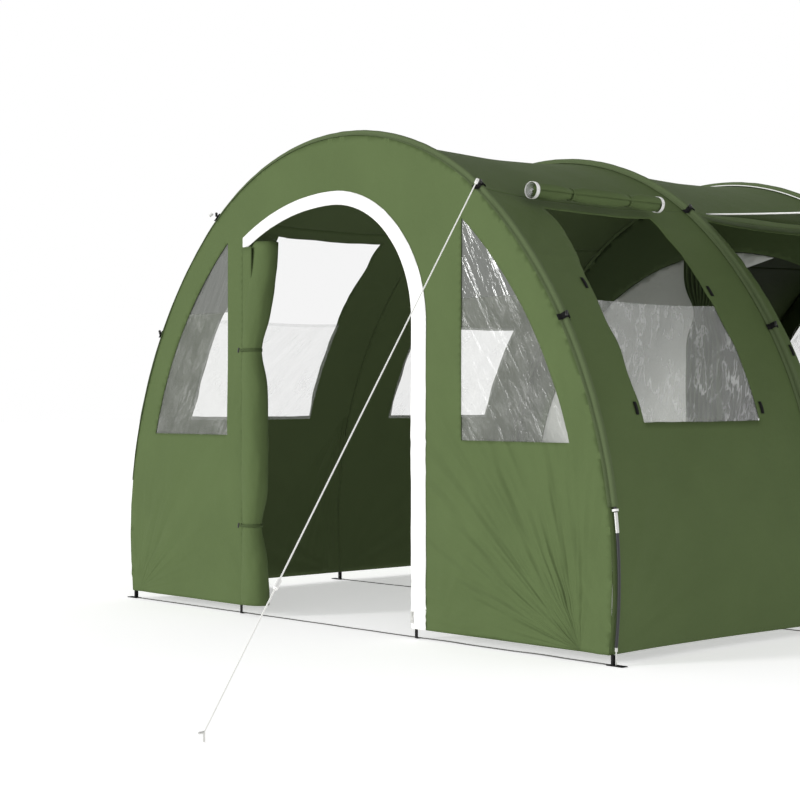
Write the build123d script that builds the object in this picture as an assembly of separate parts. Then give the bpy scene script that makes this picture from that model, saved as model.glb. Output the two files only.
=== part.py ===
"""Family tunnel tent on four fibreglass arch poles, with a side door raised as a canopy.

Frame: +X to the right as seen from the front, +Y along the tunnel towards the rear, +Z up.
The ground is z = 0.  All lengths are millimetres and all angles are degrees.
"""
import math
import os
from build123d import *

# ---------------------------------------------------------------- driving dimensions
FLY_TOP = 2025.0            # top of the cloth; the pole sleeve stands on it
CROWN_RADIUS = 1304.0       # arch profile: one crown arc and two flatter side arcs
SIDE_RADIUS = 1889.0
CROWN_ANGLE = 42.9          # angle from vertical where crown and side arcs meet
HEM_HEIGHT = 38.0           # the cloth stops this far above the ground
CLOTH = 2.0                 # thickness of the cloth panels
FILM = 1.0                  # thickness of window film and mesh
PORCH_LENGTH = 1278.0
LIVING_LENGTH = 1278.0
BEDROOM_LENGTH = 2100.0
ARCH_INSET = 22.0           # end sleeves sit this far in from the end walls
ROOF_ANGLE = 37.5           # seam between a roof panel and its side panels

POLE_RADIUS = 6.0
POLE_OFFSET = 12.0          # pole centre above the cloth
SLEEVE_WIDTH = 46.0
SLEEVE_HEIGHT = 24.0
SLEEVE_END_HEIGHT = 560.0   # the sleeves end here, and the poles stand bare below
CAP_LENGTH = 14.0
FERRULE_LENGTH = 72.0
PIN_HEIGHT = 66.0

WALL_CLEARANCE = 0.5        # gap left between pieces that don't touch

# ---------------------------------------------------------------- worked-out places
CROWN_CENTRE_Z = FLY_TOP - CROWN_RADIUS
SIDE_SHIFT = SIDE_RADIUS - CROWN_RADIUS
SIDE_CENTRE_X = -SIDE_SHIFT * math.sin(math.radians(CROWN_ANGLE))
SIDE_CENTRE_Z = CROWN_CENTRE_Z - SIDE_SHIFT * math.cos(math.radians(CROWN_ANGLE))
ARCH_Y = [ARCH_INSET]
for bay in (PORCH_LENGTH, LIVING_LENGTH, BEDROOM_LENGTH):
    ARCH_Y.append(ARCH_Y[-1] + bay)
TENT_LENGTH = ARCH_Y[-1] + ARCH_INSET

nodes = {}


# ---------------------------------------------------------------- arch profile
def angle_at(height, offset=0.0):
    """Angle from vertical where the side arc, moved out by offset, has this height."""
    return math.degrees(math.acos((height - SIDE_CENTRE_Z) / (SIDE_RADIUS + offset)))


def arch_point(angle, offset=0.0, y=0.0):
    """Point of the arch profile whose outward normal leans by angle; negative is the left side."""
    side = -1.0 if angle < 0 else 1.0
    lean = math.radians(abs(angle))
    if abs(angle) <= CROWN_ANGLE:
        x = (CROWN_RADIUS + offset) * math.sin(lean)
        z = CROWN_CENTRE_Z + (CROWN_RADIUS + offset) * math.cos(lean)
    else:
        x = SIDE_CENTRE_X + (SIDE_RADIUS + offset) * math.sin(lean)
        z = SIDE_CENTRE_Z + (SIDE_RADIUS + offset) * math.cos(lean)
    return Vector(side * x, y, z)


def arch_arcs(start, end, offset, y=0.0):
    """Edges of the profile from one angle to another, one arc per radius."""
    step = 1.0 if end > start else -1.0
    joints = [a for a in (-CROWN_ANGLE, CROWN_ANGLE) if min(start, end) < a < max(start, end)]
    stops = [start] + sorted(joints, key=lambda a: a * step) + [end]
    arcs = []
    for first, last in zip(stops, stops[1:]):
        middle = arch_point((first + last) / 2.0, offset, y)
        arcs.append(ThreePointArc(arch_point(first, offset, y), middle, arch_point(last, offset, y)))
    return arcs


def closed_face(edges):
    return make_face(Wire(edges))


def strip(start, end, inner, outer, y_start, y_end):
    """A curved panel: the profile from start to end angle, between two offsets, along Y."""
    edges = arch_arcs(start, end, outer, y_start)
    edges.append(Line(arch_point(end, outer, y_start), arch_point(end, inner, y_start)))
    edges += arch_arcs(end, start, inner, y_start)
    edges.append(Line(arch_point(start, inner, y_start), arch_point(start, outer, y_start)))
    return extrude(closed_face(edges), amount=y_end - y_start, dir=(0, 1, 0))


def arch_slab(offset, base, y_start, thickness):
    """A flat wall that fills the arch down to the base height."""
    foot = angle_at(base, offset)
    edges = arch_arcs(-foot, foot, offset, y_start)
    edges.append(Line(arch_point(foot, offset, y_start), arch_point(-foot, offset, y_start)))
    return extrude(closed_face(edges), amount=thickness, dir=(0, 1, 0))


def span_box(x, y, z):
    """A box from (low, high) pairs."""
    size = (x[1] - x[0], y[1] - y[0], z[1] - z[0])
    return Pos(sum(x) / 2, sum(y) / 2, sum(z) / 2) * Box(*size)


def side_box(side, x, y, z):
    """The same box, on the right (side = 1) or mirrored to the left (side = -1)."""
    low, high = sorted((side * x[0], side * x[1]))
    return span_box((low, high), y, z)


def tube_between(start, end, radius):
    """A straight round bar between two points."""
    start, end = Vector(*start), Vector(*end)
    plane = Plane(origin=start, z_dir=end - start)
    return extrude(plane * Circle(radius), amount=(end - start).length)


def group(shapes):
    """Several separate solids as one node."""
    return Compound([solid for shape in shapes for solid in shape.solids()])


# ---------------------------------------------------------------- front door opening
DOOR_LEFT = -624.0
DOOR_RIGHT = 455.0
DOOR_AXIS = -30.0           # highest point of the opening, left of the middle
DOOR_TOP = 1747.0
DOOR_LEFT_HEIGHT = 1588.0
BAND_WIDTH = 85.0
BAND_TOP = 57.0
BAND = 1.5


def door_outline(right, top, left_height, base):
    """D-shaped outline: straight left edge, low arc to the apex, round shoulder, straight jamb."""
    shoulder = right - DOOR_AXIS
    run = DOOR_AXIS - DOOR_LEFT
    drop = top - left_height
    radius = (run * run + drop * drop) / (2.0 * drop)
    half = math.asin(run / radius) / 2.0
    crown = (DOOR_AXIS - radius * math.sin(half), 0, top - radius * (1.0 - math.cos(half)))
    corner = math.sqrt(0.5) * shoulder
    edges = [
        Line((DOOR_LEFT, 0, base), (DOOR_LEFT, 0, left_height)),
        ThreePointArc((DOOR_LEFT, 0, left_height), crown, (DOOR_AXIS, 0, top)),
        ThreePointArc((DOOR_AXIS, 0, top), (DOOR_AXIS + corner, 0, top - shoulder + corner),
                      (right, 0, top - shoulder)),
        Line((right, 0, top - shoulder), (right, 0, base)),
        Line((right, 0, base), (DOOR_LEFT, 0, base)),
    ]
    return closed_face(edges)


def door_prism(face, y_start, y_end):
    return Pos(0, y_start, 0) * extrude(face, amount=y_end - y_start, dir=(0, 1, 0))


opening_face = door_outline(DOOR_RIGHT, DOOR_TOP, DOOR_LEFT_HEIGHT, 0.0)
band_face = door_outline(DOOR_RIGHT + BAND_WIDTH, DOOR_TOP + BAND_TOP,
                         DOOR_LEFT_HEIGHT + BAND_TOP + 5.0, HEM_HEIGHT)

# ---------------------------------------------------------------- front wall and its windows
WINDOW_INNER = 735.0
WINDOW_SILL = 784.0
WINDOW_INSET = 130.0        # distance from the arch profile to the curved window edge


def front_window(side, y_start, thickness):
    """Quarter-arch window: upright inner edge, level sill, curved outer edge."""
    whole = arch_slab(-WINDOW_INSET, WINDOW_SILL, y_start, thickness)
    return whole & side_box(side, (WINDOW_INNER, SIDE_RADIUS), (y_start, y_start + thickness),
                            (WINDOW_SILL, FLY_TOP))


def make_front_wall():
    wall = arch_slab(0.0, HEM_HEIGHT, 0.0, CLOTH)
    wall -= door_prism(opening_face, -CLOTH, 2 * CLOTH)
    for side in (-1, 1):
        wall -= front_window(side, -CLOTH, 4 * CLOTH)
    nodes["front_wall"] = wall
    band = door_prism(band_face, -BAND, 0.0) - door_prism(opening_face, -2 * BAND, BAND)
    nodes["front_door_band"] = band
    for side, name in ((-1, "left"), (1, "right")):
        nodes[f"front_window_film_{name}"] = front_window(side, CLOTH / 4, FILM)


# ---------------------------------------------------------------- rolled front door
ROLL_RADIUS = 60.0
ROLL_X = -527.0
ROLL_BASE = 48.0
ROLL_TOP = 1578.0
ROLL_SEAM_X = DOOR_LEFT + 3.0
FLAP_THICKNESS = 6.0
DOOR_TIE_HEIGHTS = (392.0, 1156.0)
TIE_WIDTH = 22.0
TIE_THICKNESS = 2.5
TIE_PINCH = 14.0            # the tie pulls the roll in by this much


def make_front_door():
    tied = ROLL_RADIUS - TIE_PINCH
    roll = Pos(ROLL_X, 0, (ROLL_BASE + ROLL_TOP) / 2) * Cylinder(ROLL_RADIUS, ROLL_TOP - ROLL_BASE)
    roll += span_box((ROLL_SEAM_X, ROLL_X), (-FLAP_THICKNESS / 2, FLAP_THICKNESS / 2),
                     (ROLL_BASE, ROLL_TOP))
    ties = []
    for height in DOOR_TIE_HEIGHTS:
        groove = Cylinder(2 * ROLL_RADIUS, TIE_WIDTH) - Cylinder(tied, TIE_WIDTH)
        roll -= Pos(ROLL_X, 0, height) * groove
        ring = Cylinder(tied + TIE_THICKNESS, TIE_WIDTH) - Cylinder(tied, TIE_WIDTH)
        toggle = Rot(90, 0, 0) * Cylinder(5.0, 34.0)
        toggle_place = Pos(ROLL_X - tied - TIE_THICKNESS - 5.0, 0, height)
        ties += [Pos(ROLL_X, 0, height) * ring, toggle_place * toggle]
    nodes["front_door_roll"] = roll
    nodes["front_door_ties"] = group(ties)


# ---------------------------------------------------------------- zip slider on the right jamb
ZIP_X = DOOR_RIGHT + 10.0
SLIDER_BASE = 90.0


def make_zip_slider():
    body = span_box((ZIP_X - 6, ZIP_X + 6), (-BAND - 0.5 - 5, -BAND - 0.5), (SLIDER_BASE, SLIDER_BASE + 16))
    puller_y = (-BAND - 0.5 - 8, -BAND - 0.5 - 5)
    puller = span_box((ZIP_X - 4, ZIP_X + 4), puller_y, (SLIDER_BASE - 30, SLIDER_BASE + 14))
    nodes["front_zip_slider"] = body + puller


# ---------------------------------------------------------------- cloth bays
SIDE_WINDOW_SILL = 862.0
FILM_TOP = 1328.0
SIDE_WINDOW_TOP = 1726.0
PORCH_WINDOW_Y = (290.0, 1010.0)
LIVING_WINDOW_Y = (1580.0, 2290.0)
SIDE_DOOR_Y = (1400.0, 2470.0)
SIDE_DOOR_TOP = 1737.0
SIDE_CUT_X = (500.0, 1800.0)
FOOT_ANGLE = angle_at(HEM_HEIGHT)
BAYS = {
    "porch": (CLOTH, ARCH_Y[1]),
    "living": (ARCH_Y[1], ARCH_Y[2]),
    "bedroom": (ARCH_Y[2], TENT_LENGTH - CLOTH),
}


def side_panel(side, y, inner, outer, z_low=HEM_HEIGHT):
    """Side panel of a bay, or a film or mesh in it, from the roof seam down."""
    angles = (side * ROOF_ANGLE, side * angle_at(z_low))
    return strip(min(angles), max(angles), inner, outer, *y)


def window_pane(side, y, z):
    """Film or mesh that fills a window hole of a side panel."""
    skin = side_panel(side, y, -CLOTH / 4 - FILM, -CLOTH / 4)
    return skin & side_box(side, SIDE_CUT_X, y, z)


def make_bays():
    for bay_name, y in BAYS.items():
        nodes[f"fly_{bay_name}_roof"] = strip(-ROOF_ANGLE, ROOF_ANGLE, -CLOTH, 0.0, *y)
        for side, side_name in ((-1, "left"), (1, "right")):
            panel = side_panel(side, y, -CLOTH, 0.0)
            if bay_name == "porch":
                panel -= side_box(side, SIDE_CUT_X, PORCH_WINDOW_Y, (SIDE_WINDOW_SILL, SIDE_WINDOW_TOP))
            if bay_name == "living" and side == -1:
                panel -= side_box(side, SIDE_CUT_X, LIVING_WINDOW_Y, (SIDE_WINDOW_SILL, FILM_TOP))
            if bay_name == "living" and side == 1:
                panel -= side_box(side, SIDE_CUT_X, SIDE_DOOR_Y, (-1.0, SIDE_DOOR_TOP))
            nodes[f"fly_{bay_name}_{side_name}"] = panel
    for side, side_name in ((-1, "left"), (1, "right")):
        film_z = (SIDE_WINDOW_SILL, FILM_TOP)
        mesh_z = (FILM_TOP, SIDE_WINDOW_TOP)
        nodes[f"porch_window_film_{side_name}"] = window_pane(side, PORCH_WINDOW_Y, film_z)
        nodes[f"porch_window_mesh_{side_name}"] = window_pane(side, PORCH_WINDOW_Y, mesh_z)
    nodes["living_window_film_left"] = window_pane(-1, LIVING_WINDOW_Y, (SIDE_WINDOW_SILL, FILM_TOP))


# ---------------------------------------------------------------- rolled window covers
COVER_RADIUS = 36.0
COVER_ANGLE = 39.8
COVER_Y = (262.0, 1032.0)
COVER_TIE_Y = (485.0, 837.0)
COVER_OFFSET = COVER_RADIUS + TIE_THICKNESS + WALL_CLEARANCE
TOGGLE_LENGTH = 52.0
TOGGLE_WIDTH = 16.0
TOGGLE_THICKNESS = 4.0


def bar_along_y(centre, radius, y):
    return Pos(centre.X, sum(y) / 2, centre.Z) * Rot(90, 0, 0) * Cylinder(radius, y[1] - y[0])


def make_covers():
    ties = []
    for side, name in ((-1, "left"), (1, "right")):
        centre = arch_point(side * COVER_ANGLE, COVER_OFFSET)
        roll = bar_along_y(centre, COVER_RADIUS, COVER_Y)
        for tie_y in COVER_TIE_Y:
            span = (tie_y - TIE_WIDTH / 2, tie_y + TIE_WIDTH / 2)
            tied = COVER_RADIUS - 4.0
            roll -= bar_along_y(centre, 2 * COVER_RADIUS, span) - bar_along_y(centre, tied, span)
            ties.append(bar_along_y(centre, tied + TIE_THICKNESS, span) - bar_along_y(centre, tied, span))
        nodes[f"window_cover_roll_{name}"] = roll
    nodes["window_cover_ties"] = group(ties)


def toggle(side, height, y):
    """A short webbing tab with its toggle, flat on the outside of a side panel."""
    lean = angle_at(height) * side
    half = math.degrees(TOGGLE_LENGTH / 2 / SIDE_RADIUS)
    return strip(min(lean - half, lean + half), max(lean - half, lean + half), 0.0, TOGGLE_THICKNESS,
                 y - TOGGLE_WIDTH / 2, y + TOGGLE_WIDTH / 2)


def make_toggles():
    margin = 24.0
    tabs = []
    for side in (-1, 1):
        for y in (PORCH_WINDOW_Y[0] - margin, PORCH_WINDOW_Y[1] + margin):
            tabs += [toggle(side, height, y) for height in (912.0, 1390.0)]
    for height in (540.0, 1145.0):
        tabs.append(toggle(1, height, SIDE_DOOR_Y[0] - margin))
        tabs.append(toggle(1, height, SIDE_DOOR_Y[1] + margin))
    nodes["window_toggles"] = group(tabs)


# ---------------------------------------------------------------- pole sleeves
SLEEVE_ANGLE = angle_at(SLEEVE_END_HEIGHT)
TAB_ANGLES = (38.4, 60.0)
TAB_HALF_LENGTH = 14.0
TAB_THICKNESS = 2.5


def sleeve_section(y, width, height):
    """D-shaped section of a sleeve, flat on the cloth, in the plane across the profile's end."""
    start = arch_point(-SLEEVE_ANGLE, 0.0, y)
    out = (arch_point(-SLEEVE_ANGLE, 1.0, y) - start).normalized()
    low = start + Vector(0, -width / 2, 0)
    high = start + Vector(0, width / 2, 0)
    return closed_face([Line(high, low), ThreePointArc(low, start + out * height, high)])


def arch_path(angle, offset, y):
    return Wire(arch_arcs(-angle, angle, offset, y))


def pole_path(angle, y):
    return arch_path(angle, POLE_OFFSET, y)


def round_sweep(path, radius):
    start = path.position_at(0)
    return sweep(Plane(origin=start, z_dir=path.tangent_at(0)) * Circle(radius), path=path)


def make_sleeves():
    channel = POLE_RADIUS + WALL_CLEARANCE
    for number, y in enumerate(ARCH_Y, start=1):
        skin = sweep(sleeve_section(y, SLEEVE_WIDTH, SLEEVE_HEIGHT), path=arch_path(SLEEVE_ANGLE, 0.0, y))
        hollow = round_sweep(pole_path(SLEEVE_ANGLE, y), channel)
        nodes[f"pole_sleeve_{number}"] = skin - hollow


def make_tabs():
    """Short webbing loops round the sleeves, where guy lines can be tied."""
    tabs = []
    for y in ARCH_Y:
        for angle in TAB_ANGLES:
            for side in (-1, 1):
                tabs.append(sleeve_loop(side * angle, y))
    nodes["sleeve_tabs"] = group(tabs)


def sleeve_loop(angle, y):
    """One loop: a band that goes over the sleeve from cloth to cloth."""
    radius = CROWN_RADIUS if abs(angle) <= CROWN_ANGLE else SIDE_RADIUS
    half = math.degrees(TAB_HALF_LENGTH / radius)
    inner_half = SLEEVE_WIDTH / 2 + WALL_CLEARANCE
    outer_half = inner_half + TAB_THICKNESS
    top = SLEEVE_HEIGHT + WALL_CLEARANCE
    start, end = angle - half, angle + half
    block = strip(start, end, WALL_CLEARANCE, top + TAB_THICKNESS, y - outer_half, y + outer_half)
    block -= strip(start - 1, end + 1, -1.0, top, y - inner_half, y + inner_half)
    return block


# ---------------------------------------------------------------- poles, ferrules and feet
CAP_WALL = 3.0
FERRULE_RADIUS = 7.5
PIN_RADIUS = 3.0
FERRULE_TOP = SLEEVE_END_HEIGHT - CAP_LENGTH - 4.0


def pole_angle(height):
    return angle_at(height, POLE_OFFSET)


def pole_piece(side, y, z_low, z_high, radius):
    """A round length of pole line between two heights on one side."""
    start, end = side * pole_angle(z_high), side * pole_angle(z_low)
    path = Wire(arch_arcs(start, end, POLE_OFFSET, y))
    return round_sweep(path, radius)


def make_poles():
    caps, ferrules, pins = [], [], []
    for number, y in enumerate(ARCH_Y, start=1):
        rod_angle = pole_angle(PIN_HEIGHT)
        nodes[f"arch_pole_{number}"] = round_sweep(pole_path(rod_angle, y), POLE_RADIUS)
        for side in (-1, 1):
            cap = pole_piece(side, y, SLEEVE_END_HEIGHT - CAP_LENGTH, SLEEVE_END_HEIGHT - 6.0,
                             POLE_RADIUS + CAP_WALL + 3.0)
            cap -= pole_piece(side, y, SLEEVE_END_HEIGHT - 2 * CAP_LENGTH, SLEEVE_END_HEIGHT, POLE_RADIUS)
            caps.append(cap)
            ferrule = pole_piece(side, y, FERRULE_TOP - FERRULE_LENGTH, FERRULE_TOP, FERRULE_RADIUS)
            ferrule -= pole_piece(side, y, FERRULE_TOP - FERRULE_LENGTH - 5, FERRULE_TOP + 5, POLE_RADIUS)
            ferrules.append(ferrule)
            pins.append(foot_pin(side, y))
    nodes["sleeve_end_caps"] = group(caps)
    nodes["pole_ferrules"] = group(ferrules)
    nodes["pole_foot_pins"] = group(pins)


def foot_place(side, y):
    """Where the pole line meets the ground."""
    point = arch_point(side * pole_angle(PIN_HEIGHT), POLE_OFFSET, y)
    return Vector(point.X, y, 0.0)


def foot_pin(side, y):
    """Round metal tip: a collar against the rod's end and a thinner shank down to the ground."""
    place = foot_place(side, y)
    collar_height = 14.0
    gap = 1.0
    shank = Pos(place.X, y, (PIN_HEIGHT - gap) / 2) * Cylinder(PIN_RADIUS, PIN_HEIGHT - gap)
    collar_z = PIN_HEIGHT - gap - collar_height / 2
    return shank + Pos(place.X, y, collar_z) * Cylinder(POLE_RADIUS, collar_height)


# ---------------------------------------------------------------- ground straps and tabs
STRAP_WIDTH = 20.0
STRAP = 1.5
FOOT_TAB_LENGTH = 74.0
FOOT_TAB_WIDTH = 30.0
FOOT_TAB = 3.0
EYELET_RADIUS = 5.0
EYELET_REACH = 26.0         # from the pole's foot out to the peg eyelet
HEM_TAB_WIDTH = 16.0


def make_ground_pieces():
    straps, tabs = [], []
    for y in ARCH_Y:
        inner = foot_place(1, y).X - (FOOT_TAB_LENGTH - EYELET_REACH - 14.0)
        straps.append(span_box((-inner, inner), (y - STRAP_WIDTH / 2, y + STRAP_WIDTH / 2), (0, STRAP)))
        for side in (-1, 1):
            tabs.append(foot_tab(side, y, inner))
    nodes["ground_straps"] = group(straps)
    nodes["foot_eyelet_tabs"] = group(tabs)


def foot_tab(side, y, inner):
    """Webbing plate with one hole for the pole's foot and an eyelet for a peg."""
    foot = foot_place(side, y).X
    half = FOOT_TAB_WIDTH / 2
    plate = side_box(side, (inner, inner + FOOT_TAB_LENGTH), (y - half, y + half), (0, FOOT_TAB))
    plate -= Pos(foot, y, 0) * Cylinder(PIN_RADIUS + 0.2, 4 * FOOT_TAB)
    plate -= Pos(foot + side * EYELET_REACH, y, 0) * Cylinder(EYELET_RADIUS, 4 * FOOT_TAB)
    return plate


def hem_tab(x, y):
    """Short upright webbing between the hem and the ground strap."""
    half = HEM_TAB_WIDTH / 2
    return span_box((x - half, x + half), (y, y + CLOTH), (STRAP, HEM_HEIGHT))


def make_hem_tabs():
    tabs = []
    front_y = ARCH_INSET - STRAP_WIDTH / 2 + 1.0
    rear_y = TENT_LENGTH - ARCH_INSET
    hem_x = arch_point(FOOT_ANGLE, -CLOTH / 2).X
    for x in (DOOR_LEFT - 12.0, DOOR_RIGHT + 30.0):
        tabs.append(hem_link(x, 0.0, front_y))
    for x in (-500.0, 500.0):
        tabs.append(hem_link(x, TENT_LENGTH - CLOTH, rear_y))
    for y in ARCH_Y:
        for side in (-1, 1):
            inner = foot_place(1, y).X - hem_x
            tabs.append(side_box(side, (hem_x - CLOTH / 2, hem_x + inner / 2), (y - 8, y + 8),
                                 (FOOT_TAB, HEM_HEIGHT - 0.5)))
    nodes["hem_tabs"] = group(tabs)


def hem_link(x, wall_y, strap_y):
    """Tab that hangs from an end wall's hem and turns in to the strap behind it."""
    low, high = sorted((wall_y, strap_y))
    upright = hem_tab(x, wall_y)
    foot = span_box((x - HEM_TAB_WIDTH / 2, x + HEM_TAB_WIDTH / 2), (low, high + CLOTH),
                    (STRAP, STRAP + CLOTH))
    return upright + foot


# ---------------------------------------------------------------- rear wall
def make_rear_wall():
    """Closed wall with the same quarter-arch windows as the front."""
    wall_y = TENT_LENGTH - CLOTH
    wall = arch_slab(0.0, HEM_HEIGHT, wall_y, CLOTH)
    for side, name in ((-1, "left"), (1, "right")):
        wall -= front_window(side, wall_y - CLOTH, 4 * CLOTH)
        nodes[f"rear_window_film_{name}"] = front_window(side, wall_y + CLOTH / 4, FILM)
    nodes["rear_wall"] = wall


# ---------------------------------------------------------------- bedroom partition
PARTITION_Y = ARCH_Y[2] + 24.0
PARTITION_RADIUS = 1275.0
PARTITION_CENTRE = 420.0
PARTITION_DOOR = (-165.0, 860.0)
PARTITION_DOOR_TOP = 1530.0
PARTITION_DOOR_PEAK = (335.0, 1650.0)   # the sloping top edge meets the header here
CURTAIN_HALF_WIDTH = 120.0
CURTAIN_DEPTH = 70.0
CURTAIN_LAP = 30.0          # the gathered curtain covers the opening's left edge by this much
CURTAIN_BASE = 40.0
CURTAIN_TOP = 1680.0


def partition_arch(y_start, thickness):
    """The arched field inside the partition's header, with upright sides down to the ground."""
    left, right = (-PARTITION_RADIUS, y_start, 0), (PARTITION_RADIUS, y_start, 0)
    left_top = (-PARTITION_RADIUS, y_start, PARTITION_CENTRE)
    right_top = (PARTITION_RADIUS, y_start, PARTITION_CENTRE)
    apex = (0, y_start, PARTITION_CENTRE + PARTITION_RADIUS)
    edges = [Line(left, left_top), ThreePointArc(left_top, apex, right_top), Line(right_top, right),
             Line(right, left)]
    return extrude(closed_face(edges), amount=thickness, dir=(0, 1, 0))


def partition_door():
    """The way into the bedroom: upright sides, and a top edge that slopes up to the header."""
    left, right = PARTITION_DOOR
    peak_x, peak_z = PARTITION_DOOR_PEAK
    corners = [(left, -1), (left, PARTITION_DOOR_TOP), (peak_x, peak_z), (peak_x, FLY_TOP),
               (right, FLY_TOP), (right, -1)]
    outline = Polyline(*[(x, PARTITION_Y, z) for x, z in corners], close=True)
    return extrude(make_face(outline), amount=CLOTH, dir=(0, 1, 0))


def make_partition():
    inner = -CLOTH - WALL_CLEARANCE
    field = partition_arch(PARTITION_Y, CLOTH)
    nodes["partition_header"] = arch_slab(inner, HEM_HEIGHT, PARTITION_Y, CLOTH) - field
    ground_gap = span_box((-SIDE_RADIUS, SIDE_RADIUS), (PARTITION_Y, PARTITION_Y + CLOTH), (-1, 12))
    panel = field - partition_door() - ground_gap
    nodes["partition_wall"] = panel
    centre_x = PARTITION_DOOR[0] - CURTAIN_LAP + CURTAIN_HALF_WIDTH
    oval = extrude(Ellipse(CURTAIN_HALF_WIDTH, CURTAIN_DEPTH / 2), amount=CURTAIN_TOP - CURTAIN_BASE)
    curtain_y = PARTITION_Y - CURTAIN_DEPTH / 2 - 8.0
    nodes["partition_curtain"] = Pos(centre_x, curtain_y, CURTAIN_BASE) * oval


# ---------------------------------------------------------------- bedroom groundsheet
SHEET_HALF_WIDTH = 1300.0
SHEET_LIP = 110.0
SHEET_MARGIN = 60.0


def make_groundsheet():
    """Tub groundsheet: a floor with low upright sides."""
    y = (PARTITION_Y + SHEET_MARGIN, TENT_LENGTH - SHEET_MARGIN - ARCH_INSET)
    outer = span_box((-SHEET_HALF_WIDTH, SHEET_HALF_WIDTH), y, (0, SHEET_LIP))
    wall = 3.0
    hollow_x = (wall - SHEET_HALF_WIDTH, SHEET_HALF_WIDTH - wall)
    hollow_y = (y[0] + wall, y[1] - wall)
    nodes["bedroom_groundsheet"] = outer - span_box(hollow_x, hollow_y, (wall, 2 * SHEET_LIP))


# ---------------------------------------------------------------- canopy over the side door
CANOPY_LENGTH = 1700.0
CANOPY_SLOPE = 2.5
CANOPY_GAP = 10.0
CANOPY = 3.0
HINGE_ANGLE = 38.4          # where the door's top seam lies on the profile
HINGE_OFFSET = 4.0
CANOPY_Y = (SIDE_DOOR_Y[0] + CANOPY_GAP, SIDE_DOOR_Y[1] - CANOPY_GAP)
HINGE = arch_point(HINGE_ANGLE, HINGE_OFFSET)
EDGING = 5.0


def on_canopy(solid):
    """Place a piece drawn along +X from the hinge onto the raised canopy."""
    return Pos(HINGE.X, 0, HINGE.Z) * Rot(0, CANOPY_SLOPE, 0) * solid


def make_canopy():
    x = (8.0, CANOPY_LENGTH)
    plate = span_box(x, CANOPY_Y, (-CANOPY / 2, CANOPY / 2))
    rim_y = (CANOPY_Y[0] - EDGING, CANOPY_Y[1] + EDGING)
    rim = span_box((x[0], x[1] + EDGING), rim_y, (-EDGING / 2, EDGING / 2))
    rim -= span_box((x[0] - 1, x[1]), CANOPY_Y, (-EDGING, EDGING))
    nodes["canopy"] = on_canopy(plate)
    nodes["canopy_edging"] = on_canopy(rim)


# ---------------------------------------------------------------- canopy poles
UPPER_RADIUS = 9.5
UPPER_BORE = 8.5
LOWER_RADIUS = 8.0
UPPER_BASE = 700.0
LOWER_TOP = 860.0
BORE_TOP = 1560.0
HEAD_DROP = 16.0            # cross pin below the canopy
POLE_MARGIN = 45.0
CROSS_PIN_RADIUS = 3.0
CROSS_PIN_HALF = 19.0
LOOP = 6.0
FOOT_BALL_RADIUS = 11.0
canopy_pole_x = HINGE.X + (CANOPY_LENGTH - POLE_MARGIN) * math.cos(math.radians(CANOPY_SLOPE))
canopy_pole_top = HINGE.Z - (CANOPY_LENGTH - POLE_MARGIN) * math.sin(math.radians(CANOPY_SLOPE)) - HEAD_DROP
CANOPY_POLES = {"front": CANOPY_Y[0] + POLE_MARGIN, "rear": CANOPY_Y[1] - POLE_MARGIN}


def upright(x, y, z_low, z_high, radius):
    return Pos(x, y, (z_low + z_high) / 2) * Cylinder(radius, z_high - z_low)


def make_canopy_poles():
    loops = []
    pin_place = Pos(canopy_pole_x, 0, canopy_pole_top)
    for name, y in CANOPY_POLES.items():
        tube = upright(canopy_pole_x, y, UPPER_BASE, canopy_pole_top + 6.0, UPPER_RADIUS)
        tube -= upright(canopy_pole_x, y, UPPER_BASE - 1, BORE_TOP, UPPER_BORE)
        cross_pin = Rot(90, 0, 0) * Cylinder(CROSS_PIN_RADIUS, 2 * CROSS_PIN_HALF)
        nodes[f"canopy_pole_{name}_upper"] = tube + pin_place * Pos(0, y, 0) * cross_pin
        lower = upright(canopy_pole_x, y, FOOT_BALL_RADIUS, LOWER_TOP, LOWER_RADIUS)
        lower += upright(canopy_pole_x, y, 0.0, 2 * FOOT_BALL_RADIUS, FOOT_BALL_RADIUS)
        nodes[f"canopy_pole_{name}_lower"] = lower
        loops += [pin_place * Pos(0, y, 0) * pole_loop(end) for end in (-1, 1)]
    nodes["canopy_pole_loops"] = group(loops)


def pole_loop(end):
    """Webbing loop that holds one end of a pole's cross pin, hung from the canopy's underside."""
    near = UPPER_RADIUS + 2.0
    low, high = sorted((end * near, end * (near + LOOP)))
    block = span_box((-8, 8), (low, high), (-8, HEAD_DROP - 2.2))
    return block - Rot(90, 0, 0) * Cylinder(CROSS_PIN_RADIUS + 0.4, 4 * CROSS_PIN_HALF)


# ---------------------------------------------------------------- guy line at the front right
GUY_RADIUS = 2.0
GUY_TAB_ANGLE = TAB_ANGLES[0]
FITTING_OFFSET = SLEEVE_HEIGHT + 14.0
FITTING_RADIUS = 7.0
FITTING_LENGTH = 20.0
PEG_PLACE = (1627.0, -1877.0)
PEG_HEIGHT = 30.0
PEG_RADIUS = 3.5
HOOK_LENGTH = 18.0
RUNNER_SHARE = 0.79         # how far down the line the runner sits
RUNNER_LENGTH = 34.0
RUNNER_RADIUS = 8.0


def guy_ends():
    """The straight line from the front right sleeve loop to the peg's hook."""
    top = arch_point(GUY_TAB_ANGLE, FITTING_OFFSET, -10.0)
    peg_hook = Vector(PEG_PLACE[0], PEG_PLACE[1], PEG_HEIGHT - PEG_RADIUS)
    way = (peg_hook - top).normalized()
    return top, top + way * FITTING_LENGTH, peg_hook - way * (PEG_RADIUS + 1.0), way


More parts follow.
